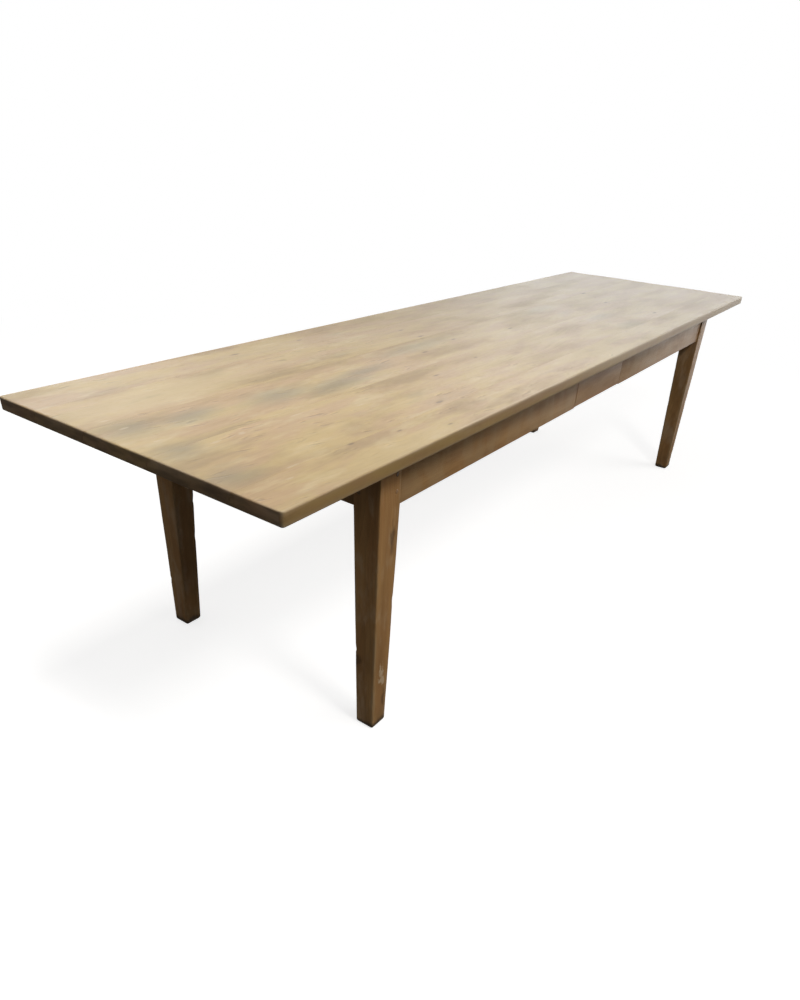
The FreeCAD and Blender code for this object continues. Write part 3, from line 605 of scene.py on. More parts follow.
def mark_grain(mesh, axis, pith, start, tone, lean):
    """Gives a mesh its board's own grain: along, across and through it, counted from the pith."""
    along, across, through = ALONG[axis]
    places = []
    for vertex in mesh.vertices:
        reach = vertex.co[along]
        places += [
            reach + start,
            vertex.co[across] - pith[0] + lean[0] * reach,
            vertex.co[through] - pith[1] + lean[1] * reach,
        ]
    mark(mesh, "grain", places, "FLOAT_VECTOR")
    mark(mesh, "tone", [tone] * len(mesh.vertices))
    facing = [polygon.normal for polygon in mesh.polygons]
    for name, side in (("end", along), ("edge", across)):
        mark(mesh, name, [max(0.0, abs(normal[side]) * 2 - 1) for normal in facing], domain="FACE")
    mark(mesh, "under", [1.0 if normal.z < -0.7 else 0.0 for normal in facing], domain="FACE")


def place_piece(name, mesh, material, body, nodes, smooth=BOARD_ANGLE):
    """A finished piece: its finish, the body that it rides on and the nodes that it stands for."""
    mesh.materials.clear()
    mesh.materials.append(material)
    mesh.shade_smooth()
    mesh.set_sharp_from_angle(angle=smooth)
    piece = bpy.data.objects.new(name, mesh)
    bpy.context.scene.collection.objects.link(piece)
    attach(piece, body)
    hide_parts(*nodes)


def node_shape(node):
    """A node's own shape to work on, with its corners joined."""
    shape = bmesh.new()
    shape.from_mesh(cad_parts[node].data)
    bmesh.ops.remove_doubles(shape, verts=shape.verts, dist=1e-6)
    return shape


def eased_copy(node, ease, support):
    """A node's own shape, its long edges eased, with a seam a little in from each for the wear to end at."""
    source = node_shape(node)
    bmesh.ops.dissolve_limit(source, angle_limit=FLAT_ANGLE, verts=source.verts, edges=source.edges)
    low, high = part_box(node)
    sharp = [
        edge for edge in source.edges
        if edge.is_manifold and edge.calc_face_angle() > EASED_ANGLE and edge.calc_length() > 4 * ease
    ]
    lines = [(edge.verts[0].co.copy(), edge.verts[1].co.copy()) for edge in sharp]
    chosen = [edge for edge in sharp if edge.is_convex]
    bmesh.ops.bevel(
        source, geom=chosen, offset=ease, segments=2, profile=0.6, affect="EDGES", clamp_overlap=True)
    for axis in range(3):
        if high[axis] - low[axis] < 4 * support:
            continue
        normal = Vector((0, 0, 0))
        normal[axis] = 1
        for level in (low[axis] + support, high[axis] - support):
            everything = source.verts[:] + source.edges[:] + source.faces[:]
            bmesh.ops.bisect_plane(
                source, geom=everything, dist=1e-7, plane_co=normal * level, plane_no=normal)
    mesh = bpy.data.meshes.new(node)
    bmesh.ops.recalc_face_normals(source, faces=source.faces)
    source.to_mesh(mesh)
    source.free()
    worn = []
    for vertex in mesh.vertices:
        nearest = min((from_line(vertex.co, *line) for line in lines), default=support)
        worn.append(max(0.0, 1.0 - nearest / (2 * ease)))
    mark(mesh, "wear", worn)
    return mesh


def from_line(point, start, end):
    """How far a point lies from a stretch of line."""
    run = end - start
    share = max(0.0, min(1.0, (point - start).dot(run) / run.length_squared))
    return (point - start - run * share).length


# Settings

def colour(name, description, default):
    """A colour that a user may change."""
    return FloatVectorProperty(
        name=name, description=description, subtype="COLOR", size=3, min=0, max=1, default=default)


def amount(name, description, default, **limits):
    """A number that a user may change."""
    return FloatProperty(name=name, description=description, default=default, **{"min": 0, **limits})


def length(name, description, default):
    """A length that a user may change."""
    return amount(name, description, default, unit="LENGTH", precision=4)


class TopSettings(bpy.types.PropertyGroup):
    edge_round: length("Edge round", "Radius of the worn rim of the top", 0.0034)
    corner_round: length("Corner round", "Radius of the top's corners in plan", 0.008)
    joint_ease: length("Joint ease", "Bevel beside each joint between planks", 0.0002)
    unevenness: length("Unevenness", "Height of the planks' gentle waves", 0.0004)
    ring_width: length("Ring width", "Width of a year's growth", 0.0042)
    wander: length("Grain wander", "How far the rings wander sideways", 0.075)
    sheen: amount("Sheen", "Strength of the wax's gloss", 0.40, max=1)
    golden_colour: colour("Golden wood", "Main colour", (0.434, 0.318, 0.144))
    pink_colour: colour("Pinkish wood", "Bands between the golden ones", (0.408, 0.278, 0.148))
    pale_colour: colour("Pale wood", "Lightest patches", (0.478, 0.374, 0.205))
    brown_colour: colour("Brown wood", "Darkest clouds", (0.294, 0.209, 0.111))
    stain_colour: colour("Stain", "Old grey stains", (0.214, 0.182, 0.114))
    knot_colour: colour("Knot", "Cores of the knots", (0.118, 0.078, 0.044))
    # The rim's colour stands partly for wear and partly for a painted highlight.
    rubbed_and_highlight_colour: colour("Rubbed edge", "Wood rubbed bare at the rim", (0.500, 0.410, 0.285))
    edge_tint: colour("Edge tint", "Darkening of the long edges", (0.77, 0.68, 0.54))
    end_tint: colour("End tint", "Darkening of the end grain", (0.67, 0.59, 0.57))
    bare_colour: colour("Bare wood", "Underside", (0.430, 0.315, 0.185))


class FrameSettings(bpy.types.PropertyGroup):
    arris_round: length("Arris round", "Radius of the legs' worn arrises", 0.0030)
    foot_round: length("Foot round", "Radius of the legs' kicked feet", 0.0085)
    edge_ease: length("Edge ease", "Bevel along the aprons and the drawer front", 0.0014)
    unevenness: length("Unevenness", "Depth of the hand-planed waves", 0.0004)
    ring_width: length("Ring width", "Width of a year's growth", 0.0036)
    wander: length("Grain wander", "How far the rings wander sideways", 0.050)
    sheen: amount("Sheen", "Strength of the wax's gloss", 0.22, max=1)
    light_colour: colour("Light wood", "Lightest streaks", (0.480, 0.274, 0.108))
    red_colour: colour("Red wood", "Main colour", (0.400, 0.208, 0.078))
    dark_colour: colour("Dark wood", "Darkest streaks", (0.225, 0.112, 0.038))
    faded_colour: colour("Faded wood", "Pale patches", (0.540, 0.380, 0.230))
    end_tint: colour("End tint", "Darkening of the end grain", (0.55, 0.52, 0.55))
    knot_colour: colour("Knot", "Cores of the knots", (0.060, 0.032, 0.016))
    # The arrises' colour stands partly for wear and partly for a painted highlight.
    rubbed_and_highlight_colour: colour("Rubbed arris", "Wood rubbed bare at the arrises", (0.400, 0.270, 0.140))
    grime_colour: colour("Grime", "Floor dirt on the feet", (0.070, 0.050, 0.034))
    scuff_colour: colour("Scuff", "Pale scuffs on the legs", (0.640, 0.490, 0.320))


class InnerSettings(bpy.types.PropertyGroup):
    edge_ease: length("Edge ease", "Bevel along the bearers, runners and drawer boards", 0.0009)
    ring_width: length("Ring width", "Width of a year's growth", 0.0040)
    wander: length("Grain wander", "How far the rings wander sideways", 0.050)
    pale_colour: colour("Pale wood", "Lightest streaks", (0.540, 0.400, 0.240))
    dry_colour: colour("Dry wood", "Main colour", (0.440, 0.305, 0.170))
    dark_colour: colour("Dark wood", "Darkest streaks", (0.250, 0.160, 0.085))


class FixingSettings(bpy.types.PropertyGroup):
    peg_sides: IntProperty(name="Peg sides", description="Facets of a riven peg", default=8, min=5, max=16)
    peg_width: length("Peg width", "Across the head of a peg", 0.0110)
    nail_width: length("Nail width", "Side of a bearer nail's shank", 0.0050)
    nail_head_width: length("Nail head", "Side of a bearer nail's head", 0.0110)
    pin_width: length("Pin width", "Side of a small nail's shank", 0.0025)
    pin_head_width: length("Pin head", "Side of a small nail's head", 0.0055)
    seed: IntProperty(name="Seed", description="Which way each head is turned", default=1595, min=0)
    peg_dark_colour: colour("Dark peg", "Soaked end grain", (0.070, 0.040, 0.020))
    peg_light_colour: colour("Light peg", "Drier end grain", (0.300, 0.170, 0.075))
    iron_colour: colour("Iron", "Hammered iron", (0.090, 0.080, 0.075))
    rust_colour: colour("Rust", "Bloom of rust", (0.180, 0.075, 0.030))


class StageSettings(bpy.types.PropertyGroup):
    lens: amount("Lens", "Focal length", 25.3036, min=1, unit="CAMERA")
    key_strength: amount("Key", "Power of the lamp in front", 35.0, unit="POWER")
    key_width: length("Key width", "Side of the lamp in front", 0.60)
    overhead_strength: amount("Overhead", "Power of the lamp above", 19.4, unit="POWER")
    overhead_width: length("Overhead width", "Side of the lamp above", 0.50)
    fill_strength: amount("Fill", "Strength of the light from all round", 0.275)
    gloss_strength: amount("Gloss", "How bright the far wall shows in the wax", 3.35)
    floor_shade: amount("Floor shade", "How strongly shadows show", 0.57, max=1)


# Top

def plank_ring(number, settings, x, inset, corner):
    """One plank's outline at a place along it, with its rim drawn in at the ends."""
    low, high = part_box(PLANK_NODES[number])
    bottom, top, middle = low.z + inset, high.z - inset, (low.z + high.z) / 2
    outer_front, outer_back = number == 0, number == len(PLANK_NODES) - 1
    front = low.y + (corner if outer_front else 0.0)
    # The node's box takes in the tongue on its back edge; the joint itself lies at the next plank's front.
    back = high.y - corner if outer_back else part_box(PLANK_NODES[number + 1])[0].y
    seed = number + 1
    ease, wave = settings.joint_ease, settings.unevenness

    def level(y):
        """How far the worn upper side rises or dips: planks cup one by one but are level at their joints."""
        share = (y - front) / (back - front) * 2 - 1
        cup = (share * share - 1.0) * wave * (0.9 if seed % 2 else -0.9)
        return cup + wave * waver((x * 1.9, y * 7.0, 0.0), 1.0, 1)

    def rim(side, edge):
        """An outer edge, from the underside to the upper side."""
        below = settings.edge_round * (1.0 + 0.35 * waver((x, 0.3, side), 4.0, seed))
        above = settings.edge_round * (1.0 + 0.45 * waver((x, 0.7, side), 5.0, seed))
        face = edge + wave * 1.4 * waver((x, 0.1, side), 2.3, seed)
        points = []
        for angle in quarter_turn():
            y, z = face - side * below * (1 - math.sin(angle)), bottom + below * (1 - math.cos(angle))
            points.append((y, z, 1.0))
        points += [(face, bottom + (top - bottom) * share, 0.0) for share in (0.35, 0.65)]
        for angle in quarter_turn():
            y, z = face - side * above * (1 - math.cos(angle)), top - above * (1 - math.sin(angle))
            points.append((y, z, 1.0))
        return points

    def joint(side, edge, depth, half):
        """An inner edge with its tongue or groove, from the underside to the upper side."""
        upper = top + level(edge)
        return [(y, z, 0.0) for y, z in (
            (edge - side * ease, bottom), (edge, bottom + ease),
            (edge, middle - half), (edge + depth, middle - half),
            (edge + depth, middle + half), (edge, middle + half),
            (edge, upper - ease), (edge - side * ease, upper),
        )]

    def across(*shares):
        """Places on the flat of the plank, from front to back."""
        return [front + PLANK_MARGIN + (back - front - 2 * PLANK_MARGIN) * share for share in shares]

    outline = [(y, bottom, 0.0) for y in across(0.0, 0.25, 0.5, 0.75, 1.0)]
    outline += rim(1, back) if outer_back else joint(1, back, TONGUE_DEPTH, TONGUE_HALF)
    worn = 1.0 if inset > 0 else 0.0
    outline += [(y, top + level(y), worn) for y in across(1.0, 0.86, 0.72, 0.58, 0.44, 0.30, 0.15, 0.0)]
    near = rim(-1, front) if outer_front else joint(-1, front, GROOVE_DEPTH, TONGUE_HALF + GROOVE_PLAY)
    return [(Vector((x, y, z)), wear) for y, z, wear in outline + near[::-1]]


class TABLE_OT_top_planks(bpy.types.Operator):
    """Lay the five waxed planks of the top"""
    bl_idname = "table.top_planks"
    bl_label = "Top Planks"

    def execute(self, context):
        settings = context.scene.table_top
        material = top_wood(settings)
        rolls = random.Random(PLANK_SEED)
        rim, corner = settings.edge_round, settings.corner_round
        for number, node in enumerate(PLANK_NODES):
            low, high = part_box(node)
            span = high.x - corner
            stations = [(x, 0.0) for x in spaced(0.0, span, HALF_PLANK_STEPS)]
            stations.append((high.x - corner * 0.75, 0.0))
            for angle in quarter_turn():
                stations.append((high.x - rim * (1 - math.sin(angle)), rim * (1 - math.cos(angle))))
            loops = []
            for x, inset in [(-x, inset) for x, inset in stations[::-1]] + [(0.0, 0.0)] + stations:
                past = max(0.0, abs(x) - span)
                drawn = corner - math.sqrt(max(0.0, corner * corner - past * past))
                loops.append(plank_ring(number, settings, x, inset, drawn))
            name = f"waxed_plank_{number + 1}"
            mesh = loft(name, loops)
            pith = ((low.y + high.y) / 2 + rolls.uniform(-0.06, 0.06), low.z - rolls.uniform(0.02, 0.09))
            lean = (rolls.uniform(-0.012, 0.012), rolls.uniform(-0.014, 0.014))
            start = PLANK_GRAIN[0] + PLANK_GRAIN[1] * number
            mark_grain(mesh, "x", pith, start, rolls.uniform(-1, 1), lean)
            place_piece(name, mesh, material, "table", [node])
        return {"FINISHED"}


# Frame

def frame_finish(settings):
    """The frame's wood, made once."""
    return bpy.data.materials.get("waxed_frame_wood") or frame_wood(settings)


def leg_ring(settings, seed, width, drawn, z, worn, nicks):
    """A leg's outline at one height, from its outer corner inwards, with wear at its arrises."""
    corners = []
    for index, (across, through) in enumerate([(0, 0), (1, 0), (1, 1), (0, 1)]):
        radius = settings.arris_round * worn * (1.0 + 0.4 * waver((z, index * 0.37, 0.2), 9.0, seed))
        radius += drawn * 0.6
        for corner, height, reach, depth in nicks:
            if corner == index:
                radius += depth * 2.2 * math.exp(-(((z - height) / reach) ** 2))
        aside, inward = Vector((-1 if across else 1, 0)), Vector((0, -1 if through else 1))
        point = Vector((drawn + across * (width - 2 * drawn), drawn + through * (width - 2 * drawn)))
        middle = point + (aside + inward) * radius
        arc = [
            middle - aside * radius * math.cos(angle) - inward * radius * math.sin(angle)
            for angle in quarter_turn()
        ]
        corners.append(arc[::-1] if index in (1, 3) else arc)
    outline = []
    for index, arc in enumerate(corners):
        outline += [(point, 1.0) for point in arc]
        run = corners[(index + 1) % 4][0] - arc[-1]
        seam = ARRIS_SEAM / max(run.length, 1e-6)
        outline += [(arc[-1] + run * share, 0.0) for share in (seam, 0.36, 0.64, 1 - seam)]
    return outline


class TABLE_OT_legs(bpy.types.Operator):
    """Stand the four tapered legs"""
    bl_idname = "table.legs"
    bl_label = "Legs"

    def execute(self, context):
        settings = context.scene.table_frame
        material = frame_finish(settings)
        apron_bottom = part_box("back_apron")[0].z
        rolls = random.Random(LEG_SEED)
        kicked = settings.foot_round
        base = kicked + FOOT_MARGIN
        for seed, node in enumerate(LEG_NODES, start=1):
            low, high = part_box(node)
            toward = [1 if low[axis] > 0 else -1 for axis in range(2)]
            outer = [high[axis] if toward[axis] > 0 else low[axis] for axis in range(2)]
            taper = high.x - low.x - FOOT_WIDTH
            nicks = [
                (rolls.randrange(4), rolls.uniform(0.02, 0.58), rolls.uniform(0.004, 0.013),
                 rolls.uniform(0.0006, 0.0022))
                for _ in range(NICK_COUNT)
            ]
            levels = [kicked * (1 - math.cos(angle)) for angle in quarter_turn(FOOT_STEPS)] + [base]
            levels += spaced(base, apron_bottom, LEG_STEPS) + spaced(apron_bottom, high.z, HEAD_STEPS)
            loops = []
            for z in levels:
                width = FOOT_WIDTH + taper * min(1.0, z / apron_bottom)
                past = max(0.0, kicked - z) / kicked
                drawn = kicked * (1 - math.sqrt(max(0.0, 1 - past * past)))
                # Below the apron the arrises are more worn than where the aprons meet them.
                worn = 1.0 if z < apron_bottom else 0.8
                centre = Vector((width / 2, width / 2))
                ring = []
                for flat, wear in leg_ring(settings, seed, width, drawn, z, worn, nicks):
                    out = (flat - centre).normalized()
                    wave = settings.unevenness * waver((z, out.x * 0.5, out.y * 0.5), 6.0, seed)
                    moved = flat + out * (wave if FOOT_HEIGHT < z < apron_bottom else 0.0)
                    x, y = (outer[axis] - toward[axis] * moved[axis] for axis in range(2))
                    ring.append((Vector((x, y, z)), wear))
                loops.append(ring)
            mesh = loft(f"waxed_{node}", loops)
            pith = [
                outer[axis] - toward[axis] * rolls.uniform(0.02, 0.10) + rolls.uniform(-0.04, 0.04)
                for axis in range(2)
            ]
            lean = (rolls.uniform(-0.02, 0.02), rolls.uniform(-0.02, 0.02))
            mark_grain(mesh, "z", pith, LEG_GRAIN[0] + LEG_GRAIN[1] * seed, rolls.uniform(-1, 1), lean)
            place_piece(f"waxed_{node}", mesh, material, "table", [node])
        return {"FINISHED"}


class TABLE_OT_aprons(bpy.types.Operator):
    """Set the aprons between the legs"""
    bl_idname = "table.aprons"
    bl_label = "Aprons"

    def execute(self, context):
        settings = context.scene.table_frame
        material = frame_finish(settings)
        rolls = random.Random(APRON_SEED)
        for number, node in enumerate(APRON_NODES):
            axis = "y" if node.startswith("end") else "x"
            mesh = eased_copy(node, settings.edge_ease, FRAME_SEAM)
            low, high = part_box(node)
            middle = (low + high) / 2
            pith = (middle[ALONG[axis][1]] + rolls.uniform(-0.03, 0.03), middle.z - rolls.uniform(0.05, 0.14))
            lean = (rolls.uniform(-0.01, 0.01), rolls.uniform(-0.02, 0.02))
            start = APRON_GRAIN[0] + APRON_GRAIN[1] * number
            mark_grain(mesh, axis, pith, start, rolls.uniform(-1, 1) + APRON_TONE, lean)
            place_piece(f"waxed_{node}", mesh, material, "table", [node])
        return {"FINISHED"}


# Bearers, runners and drawer

def plain_boards(nodes, axis, body, settings, seed):
    """Bare boards in the shape of their nodes, with eased edges and grain of their own."""
    material = bpy.data.materials.get("bare_inner_wood") or inner_wood(settings)
    rolls = random.Random(seed)
    for number, node in enumerate(nodes):
        mesh = eased_copy(node, settings.edge_ease, INNER_SEAM)
        low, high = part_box(node)
        middle = (low + high) / 2
        _, across, through = ALONG[axis]
        pith = (middle[across] + rolls.uniform(-0.04, 0.04), middle[through] - rolls.uniform(0.03, 0.10))
        lean = (rolls.uniform(-0.02, 0.02), rolls.uniform(-0.02, 0.02))
        start = INNER_GRAIN[0] + INNER_GRAIN[1] * number + seed
        mark_grain(mesh, axis, pith, start, rolls.uniform(-1, 1), lean)
        place_piece(f"bare_{node}", mesh, material, body, [node])


class TABLE_OT_bearers(bpy.types.Operator):
    """Lay the cross bearers under the top"""
    bl_idname = "table.bearers"
    bl_label = "Bearers"

    def execute(self, context):
        plain_boards(BEARER_NODES, "y", "table", context.scene.table_inner, BEARER_SEED)
        return {"FINISHED"}


class TABLE_OT_runners(bpy.types.Operator):
    """Fix the runners, guides and stops that carry the drawer"""
    bl_idname = "table.runners"
    bl_label = "Drawer Runners"

    def execute(self, context):
        plain_boards(RUNNER_NODES, "y", "table", context.scene.table_inner, RUNNER_SEED)
        return {"FINISHED"}


class TABLE_OT_drawer(bpy.types.Operator):
    """Put the dovetailed drawer together"""
    bl_idname = "table.drawer"
    bl_label = "Drawer"

    def execute(self, context):
        settings = context.scene.table_frame
        material = frame_finish(settings)
        mesh = eased_copy("drawer_front", settings.edge_ease, FRAME_SEAM)
        low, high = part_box("drawer_front")
        pith = ((low.y + high.y) / 2 + 0.01, low.z - 0.07)
        mark_grain(mesh, "x", pith, DRAWER_FRONT_GRAIN, DRAWER_FRONT_TONE, (0.006, -0.012))
        place_piece("waxed_drawer_front", mesh, material, "drawer", ["drawer_front"])
        inner = context.scene.table_inner
        plain_boards(["drawer_side_left", "drawer_side_right"], "y", "drawer", inner, DRAWER_SIDE_SEED)
        plain_boards(["drawer_back", "drawer_bottom"], "x", "drawer", inner, DRAWER_BOARD_SEED)
        return {"FINISHED"}


# Pegs and nails

def fixing_tree():
    """Geometry nodes that drive one faceted peg or nail in at each point, turned and sized at random."""
    name = "driven_fixing"
    if name in bpy.data.node_groups:
        return bpy.data.node_groups[name]
    tree = bpy.data.node_groups.new(name, "GeometryNodeTree")
    measures = ("Shank Radius", "Tip Radius", "Length", "Head Radius", "Crown Radius", "Head Height", "Turn")
    kinds = {
        "Geometry": "NodeSocketGeometry", **dict.fromkeys(measures, "NodeSocketFloat"),
        "Sides": "NodeSocketInt", "Seed": "NodeSocketInt", "Material": "NodeSocketMaterial",
    }
    for label, kind in kinds.items():
        tree.interface.new_socket(label, in_out="INPUT", socket_type=kind)
    tree.interface.new_socket("Geometry", in_out="OUTPUT", socket_type="NodeSocketGeometry")
    given = outputs(tree, "NodeGroupInput")

    # Four rows of corners from tip to crown, each then put at its own height and radius
    sockets = {"Vertices": given["Sides"], "Side Segments": 3, "Radius": 1.0, "Depth": 6.0}
    blank = step(tree, "GeometryNodeMeshCylinder", sockets, "Mesh")
    spot = outputs(tree, "ShaderNodeSeparateXYZ", {0: step(tree, "GeometryNodeInputPosition")})

    def row_by_row(tip, shank, head, crown):
        """A measure that changes from one row of corners to the next."""
        value = tip
        for level, change in ((-2.0, shank - tip), (0.0, head - shank), (2.0, crown - head)):
            value = value + sum_of("GREATER_THAN", spot["Z"], level) * change
        return value

    radius = row_by_row(
        given["Tip Radius"], given["Shank Radius"], given["Head Radius"], given["Crown Radius"])
    height = row_by_row(given["Length"] * -1.0, 0.0, 0.0, given["Head Height"])
    placed = step(tree, "ShaderNodeCombineXYZ", {0: spot["X"] * radius, 1: spot["Y"] * radius, 2: height})
    shaped = step(tree, "GeometryNodeSetPosition", {"Geometry": blank, "Position": placed})

    def at_random(least, most):
        """A number for each point."""
        sockets = {2: least, 3: most, "Seed": given["Seed"]}
        return step(tree, "FunctionNodeRandomValue", sockets, 1, data_type="FLOAT")

    aim = step(
        tree, "GeometryNodeInputNamedAttribute", {"Name": "aim"}, "Attribute", data_type="FLOAT_VECTOR")
    facing = step(tree, "FunctionNodeAlignRotationToVector", {"Vector": aim}, axis="Z")
    angle = at_random(-1.0, 1.0) * given["Turn"]
    twist = step(tree, "FunctionNodeAxisAngleToRotation", {"Axis": (0.0, 0.0, 1.0), "Angle": angle})
    turned = step(tree, "FunctionNodeRotateRotation", {0: facing, 1: twist}, rotation_space="LOCAL")
    points = step(tree, "GeometryNodeMeshToPoints", {"Mesh": given["Geometry"]})
    driven = step(tree, "GeometryNodeInstanceOnPoints", {
        "Points": points, "Instance": shaped, "Rotation": turned, "Scale": at_random(0.94, 1.0),
    })
    real = step(tree, "GeometryNodeRealizeInstances", {"Geometry": driven})
    dressed = step(tree, "GeometryNodeSetMaterial", {"Geometry": real, "Material": given["Material"]})
    new_node(tree, "NodeGroupOutput", {0: dressed})
    return tree


def drive(name, points, inputs, material, body, node):
    """Pegs or nails at points, each with the way that its head faces, as one plain mesh on one body."""
    seeds = bpy.data.meshes.new(f"{name}_points")
    seeds.from_pydata([place for place, _ in points], [], [])
    mark(seeds, "aim", [part for _, aim in points for part in aim], "FLOAT_VECTOR")
    rolls = random.Random(inputs["Seed"])
    mark(seeds, "tone", [rolls.random() for _ in points])
    holder = bpy.data.objects.new(f"{name}_points", seeds)
    bpy.context.scene.collection.objects.link(holder)
    tree = fixing_tree()
    modifier = holder.modifiers.new("driven", "NODES")
    modifier.node_group = tree
    sockets = {item.name: item.identifier for item in tree.interface.items_tree if item.in_out == "INPUT"}
    for label, setting in {**inputs, "Material": material}.items():
        modifier[sockets[label]] = setting
    bpy.context.view_layer.update()
    graph = bpy.context.evaluated_depsgraph_get()
    mesh = bpy.data.meshes.new_from_object(holder.evaluated_get(graph))
    if len(mesh.polygons) == 0:
        raise RuntimeError(f"{name} came out empty")
    mesh.name = name
    holder.modifiers.remove(modifier)
    bpy.data.objects.remove(holder)
    place_piece(name, mesh, material, body, [node], smooth=FIXING_ANGLE)


def shell_boxes(node):
    """The box of each separate solid in a node."""
    shape = node_shape(node)
    left, shells = set(shape.verts), []
    while left:
        reached, waiting = [], [left.pop()]
        while waiting:
            vertex = waiting.pop()
            reached.append(vertex.co.copy())
            near = {edge.other_vert(vertex) for edge in vertex.link_edges} & left
            left -= near
            waiting += near
        shells.append([
            Vector([side(point[axis] for point in reached) for axis in range(3)]) for side in (min, max)
        ])
    shape.free()
    return sorted(shells, key=lambda shell: tuple(round(part, 4) for part in shell[0]))


def heads(node, axis, sink):
    """Where the heads of a node's pegs or nails sit, which way they face, and how deep they all go.

    Those along z face down, the others outwards."""
    points = []
    for low, high in shell_boxes(node):
        place = (low + high) / 2
        outward = 1 if axis != 2 and place[axis] > 0 else -1
        aim = Vector((0, 0, 0))
        aim[axis] = outward
        place[axis] = (high if outward > 0 else low)[axis] - outward * sink
        points.append((place, aim))
    return points, high[axis] - low[axis]


class TABLE_OT_pegs(bpy.types.Operator):
    """Drive the riven pegs through the leg heads"""
    bl_idname = "table.pegs"
    bl_label = "Pegs"

    def execute(self, context):
        settings = context.scene.table_fixings
        material = peg_wood(settings)
        radius = settings.peg_width / 2
        for node, axis in (("long_apron_pegs", 1), ("end_apron_pegs", 0)):
            points, depth = heads(node, axis, PEG_SINK)
            inputs = {
                "Shank Radius": radius, "Tip Radius": radius * 0.86, "Length": depth - PEG_PLAY,
                "Head Radius": radius, "Crown Radius": radius * 0.72, "Head Height": PEG_CROWN,
                "Turn": math.pi, "Sides": settings.peg_sides, "Seed": settings.seed,
            }
            drive(f"riven_{node}", points, inputs, material, "table", node)
        return {"FINISHED"}


class TABLE_OT_nails(bpy.types.Operator):
    """Drive the wrought nails under the bearers, the guides and the drawer's bottom"""
    bl_idname = "table.nails"
    bl_label = "Nails"

    def execute(self, context):
        settings = context.scene.table_fixings
        material = forged_iron(settings)
        nail = (settings.nail_width, settings.nail_head_width, NAIL_RISE)
        pin = (settings.pin_width, settings.pin_head_width, PIN_RISE)
        # A square's corners lie further from its middle than its sides do.
        out = math.sqrt(0.5)
        for node, body, (width, head, rise) in (
            ("bearer_nails", "table", nail),
            ("guide_nails", "table", pin),
            ("drawer_bottom_nails", "drawer", pin),
        ):
            points, depth = heads(node, 2, rise)
            inputs = {
                "Shank Radius": width * out, "Tip Radius": width * out * 0.4, "Length": depth - rise,
                "Head Radius": head * out, "Crown Radius": head * out * 0.4, "Head Height": rise,
                "Turn": 0.5, "Sides": 4, "Seed": settings.seed,
            }
            drive(f"forged_{node}", points, inputs, material, body, node)
        return {"FINISHED"}


# Stage

def studio_world(settings):
    """A white background, soft light from all round, strongest from behind and from high in front, and a
    bright far wall for the wax to show."""
    world = bpy.data.worlds.new("studio")
    bpy.context.scene.world = world
    world.use_nodes = True
    tree = world.node_tree
    tree.nodes.clear()
    aim = step(tree, "ShaderNodeTexCoord", output="Generated")
    x, y, z = outputs(tree, "ShaderNodeSeparateXYZ", {0: aim}).values()

    # Soft light from all round
    around = remap(x, -0.7, 0.4, 1.45, 1.0) * remap(y, -0.7, 0.3, 0.55, 1.35) * remap(z, 0.0, 0.8, 0.40, 0.70)
    behind = remap(y, 0.1, 0.9, 0.0, 0.32)
    front = between(z, 0.46, 0.56, 0.64, 0.76) * remap(y, -0.36, -0.64) * remap(x, -0.10, 0.25)
    strength = (around + behind + front * 20.0) * settings.fill_strength
    soft = step(tree, "ShaderNodeBackground", {"Color": (1.0, 0.985, 0.96, 1.0), "Strength": strength})

    # The far wall with its window and a dim corner
    wall = remap(z, 0.12, 0.56, 1.0, 0.18) * settings.gloss_strength * remap(x, -0.3, 0.5, 0.08, 1.0)
    window = remap(y, -0.22, -0.40) * 0.5 + 1.0 - remap(y, -0.66, -0.80)
    corner = 1.0 - between(y, 0.42, 0.60, 0.72, 0.86) * 0.50
    sockets = {"Color": (0.955, 0.98, 1.0, 1.0), "Strength": wall * window * corner}
    glossy = step(tree, "ShaderNodeBackground", sockets)

    shown = step(tree, "ShaderNodeBackground", {"Color": WHITE, "Strength": 1.0})
    path = outputs(tree, "ShaderNodeLightPath")
    mirrored = greatest(path["Is Glossy Ray"], path["Is Transmission Ray"])
    lit = step(tree, "ShaderNodeMixShader", {0: mirrored, 1: soft, 2: glossy})
    seen = step(tree, "ShaderNodeMixShader", {0: path["Is Camera Ray"], 1: lit, 2: shown})
    new_node(tree, "ShaderNodeOutputWorld", {"Surface": seen})


def floor_finish(settings):
    """A plain pale floor that shows white, keeps the shadow, and is brighter towards the far wall for what it
    lights."""
    material, tree = fresh_material("pale_floor")
    place = place_in(tree)
    along = step(tree, "ShaderNodeSeparateXYZ", {0: place}, "X")
    path = outputs(tree, "ShaderNodeLightPath")

    bounce = blend(remap(along, -1.4, 0.0), (0.08, 0.08, 0.08), (0.18, 0.18, 0.18))
    dull = step(tree, "ShaderNodeBsdfDiffuse", {"Color": bounce})
    glow = step(tree, "ShaderNodeEmission", {"Color": WHITE, "Strength": remap(along, 1.0, 4.0, 0.06, 1.4)})
    lighting = step(tree, "ShaderNodeMixShader", {0: path["Is Glossy Ray"], 1: dull, 2: glow})

    shade = settings.floor_shade
    base = step(tree, "ShaderNodeEmission", {"Color": WHITE, "Strength": 1.0 - 0.42 * shade})
    matt = step(tree, "ShaderNodeBsdfDiffuse", {"Color": (shade, shade, shade, 1.0)})
    pale = step(tree, "ShaderNodeAddShader", {0: base, 1: matt})
    clear = step(tree, "ShaderNodeEmission", {"Color": WHITE, "Strength": 1.0})
    faded = step(tree, "ShaderNodeMixShader", {0: remap(far_out(place), 2.2, 4.5), 1: pale, 2: clear})
    mixed = step(tree, "ShaderNodeMixShader", {0: path["Is Camera Ray"], 1: lighting, 2: faded})
    new_node(tree, "ShaderNodeOutputMaterial", {"Surface": mixed})
    return material


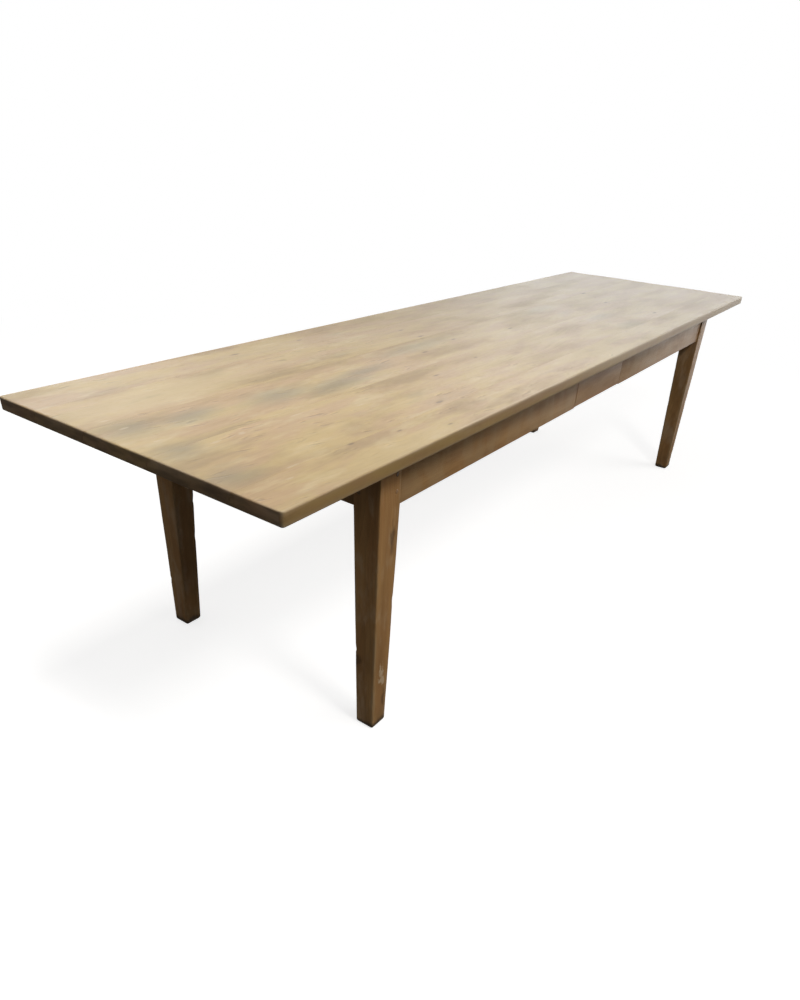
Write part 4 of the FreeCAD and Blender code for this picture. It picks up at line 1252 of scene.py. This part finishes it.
class TABLE_OT_stage(bpy.types.Operator):
    """Set the floor, the soft light and the camera"""
    bl_idname = "table.stage"
    bl_label = "Stage"

    def execute(self, context):
        scene = context.scene
        settings = scene.table_stage
        scene.view_settings.view_transform = "Standard"
        studio_world(settings)

        floor = bpy.data.meshes.new("floor")
        corners = [(x * FLOOR_REACH, y * FLOOR_REACH, 0) for x, y in ((-1, -1), (1, -1), (1, 1), (-1, 1))]
        floor.from_pydata(corners, [], [(0, 1, 2, 3)])
        floor.materials.append(floor_finish(settings))
        ground = bpy.data.objects.new("floor", floor)
        scene.collection.objects.link(ground)

        self.hang("key", settings.key_strength, settings.key_width, KEY_PLACE, KEY_TARGET)
        self.hang(
            "overhead", settings.overhead_strength, settings.overhead_width, OVERHEAD_PLACE, OVERHEAD_TARGET)

        camera = bpy.data.cameras.new("camera")
        camera.sensor_width = SENSOR_WIDTH
        camera.lens = settings.lens
        camera.shift_x, camera.shift_y = CAMERA_SHIFT
        camera.clip_end = SIGHT
        view = bpy.data.objects.new("camera", camera)
        ahead, right = Vector(CAMERA_AHEAD), Vector(CAMERA_RIGHT)
        turn = Matrix((right, right.cross(ahead), -ahead)).transposed().to_4x4()
        view.matrix_world = Matrix.Translation(CAMERA_PLACE) @ turn
        scene.collection.objects.link(view)
        scene.camera = view
        return {"FINISHED"}

    def hang(self, name, strength, width, place, target):
        """Hangs a square lamp at a place, facing a target."""
        light = bpy.data.lights.new(name, "AREA")
        light.energy = strength
        light.size = width
        light.color = LAMP_COLOUR
        lamp = bpy.data.objects.new(name, light)
        lamp.location = place
        lamp.rotation_euler = (Vector(target) - Vector(place)).to_track_quat("-Z", "Y").to_euler()
        bpy.context.scene.collection.objects.link(lamp)


class TABLE_PT_sidebar(bpy.types.Panel):
    """The table's pieces and their settings"""
    bl_idname = "TABLE_PT_sidebar"
    bl_label = "Refectory Table"
    bl_space_type = "VIEW_3D"
    bl_region_type = "UI"
    bl_category = "Table"

    def draw(self, context):
        for operator in OPERATORS:
            self.layout.operator(operator.bl_idname)
        for group in GROUPS:
            box = self.layout.box()
            for name in GROUPS[group].__annotations__:
                box.prop(getattr(context.scene, group), name)


GROUPS = {
    "table_top": TopSettings,
    "table_frame": FrameSettings,
    "table_inner": InnerSettings,
    "table_fixings": FixingSettings,
    "table_stage": StageSettings,
}
OPERATORS = (
    TABLE_OT_top_planks,
    TABLE_OT_legs,
    TABLE_OT_aprons,
    TABLE_OT_bearers,
    TABLE_OT_runners,
    TABLE_OT_drawer,
    TABLE_OT_pegs,
    TABLE_OT_nails,
    TABLE_OT_stage,
)


def register():
    for cls in (*GROUPS.values(), *OPERATORS, TABLE_PT_sidebar):
        bpy.utils.register_class(cls)
    for name, cls in GROUPS.items():
        setattr(bpy.types.Scene, name, PointerProperty(type=cls))


def unregister():
    for name in GROUPS:
        delattr(bpy.types.Scene, name)
    for cls in (TABLE_PT_sidebar, *OPERATORS[::-1], *GROUPS.values()):
        bpy.utils.unregister_class(cls)


def main():
    register()
    bpy.ops.table.top_planks()
    bpy.ops.table.legs()
    bpy.ops.table.aprons()
    bpy.ops.table.bearers()
    bpy.ops.table.runners()
    bpy.ops.table.drawer()
    bpy.ops.table.pegs()
    bpy.ops.table.nails()
    bpy.ops.table.stage()


if __name__ == "__main__":
    main()
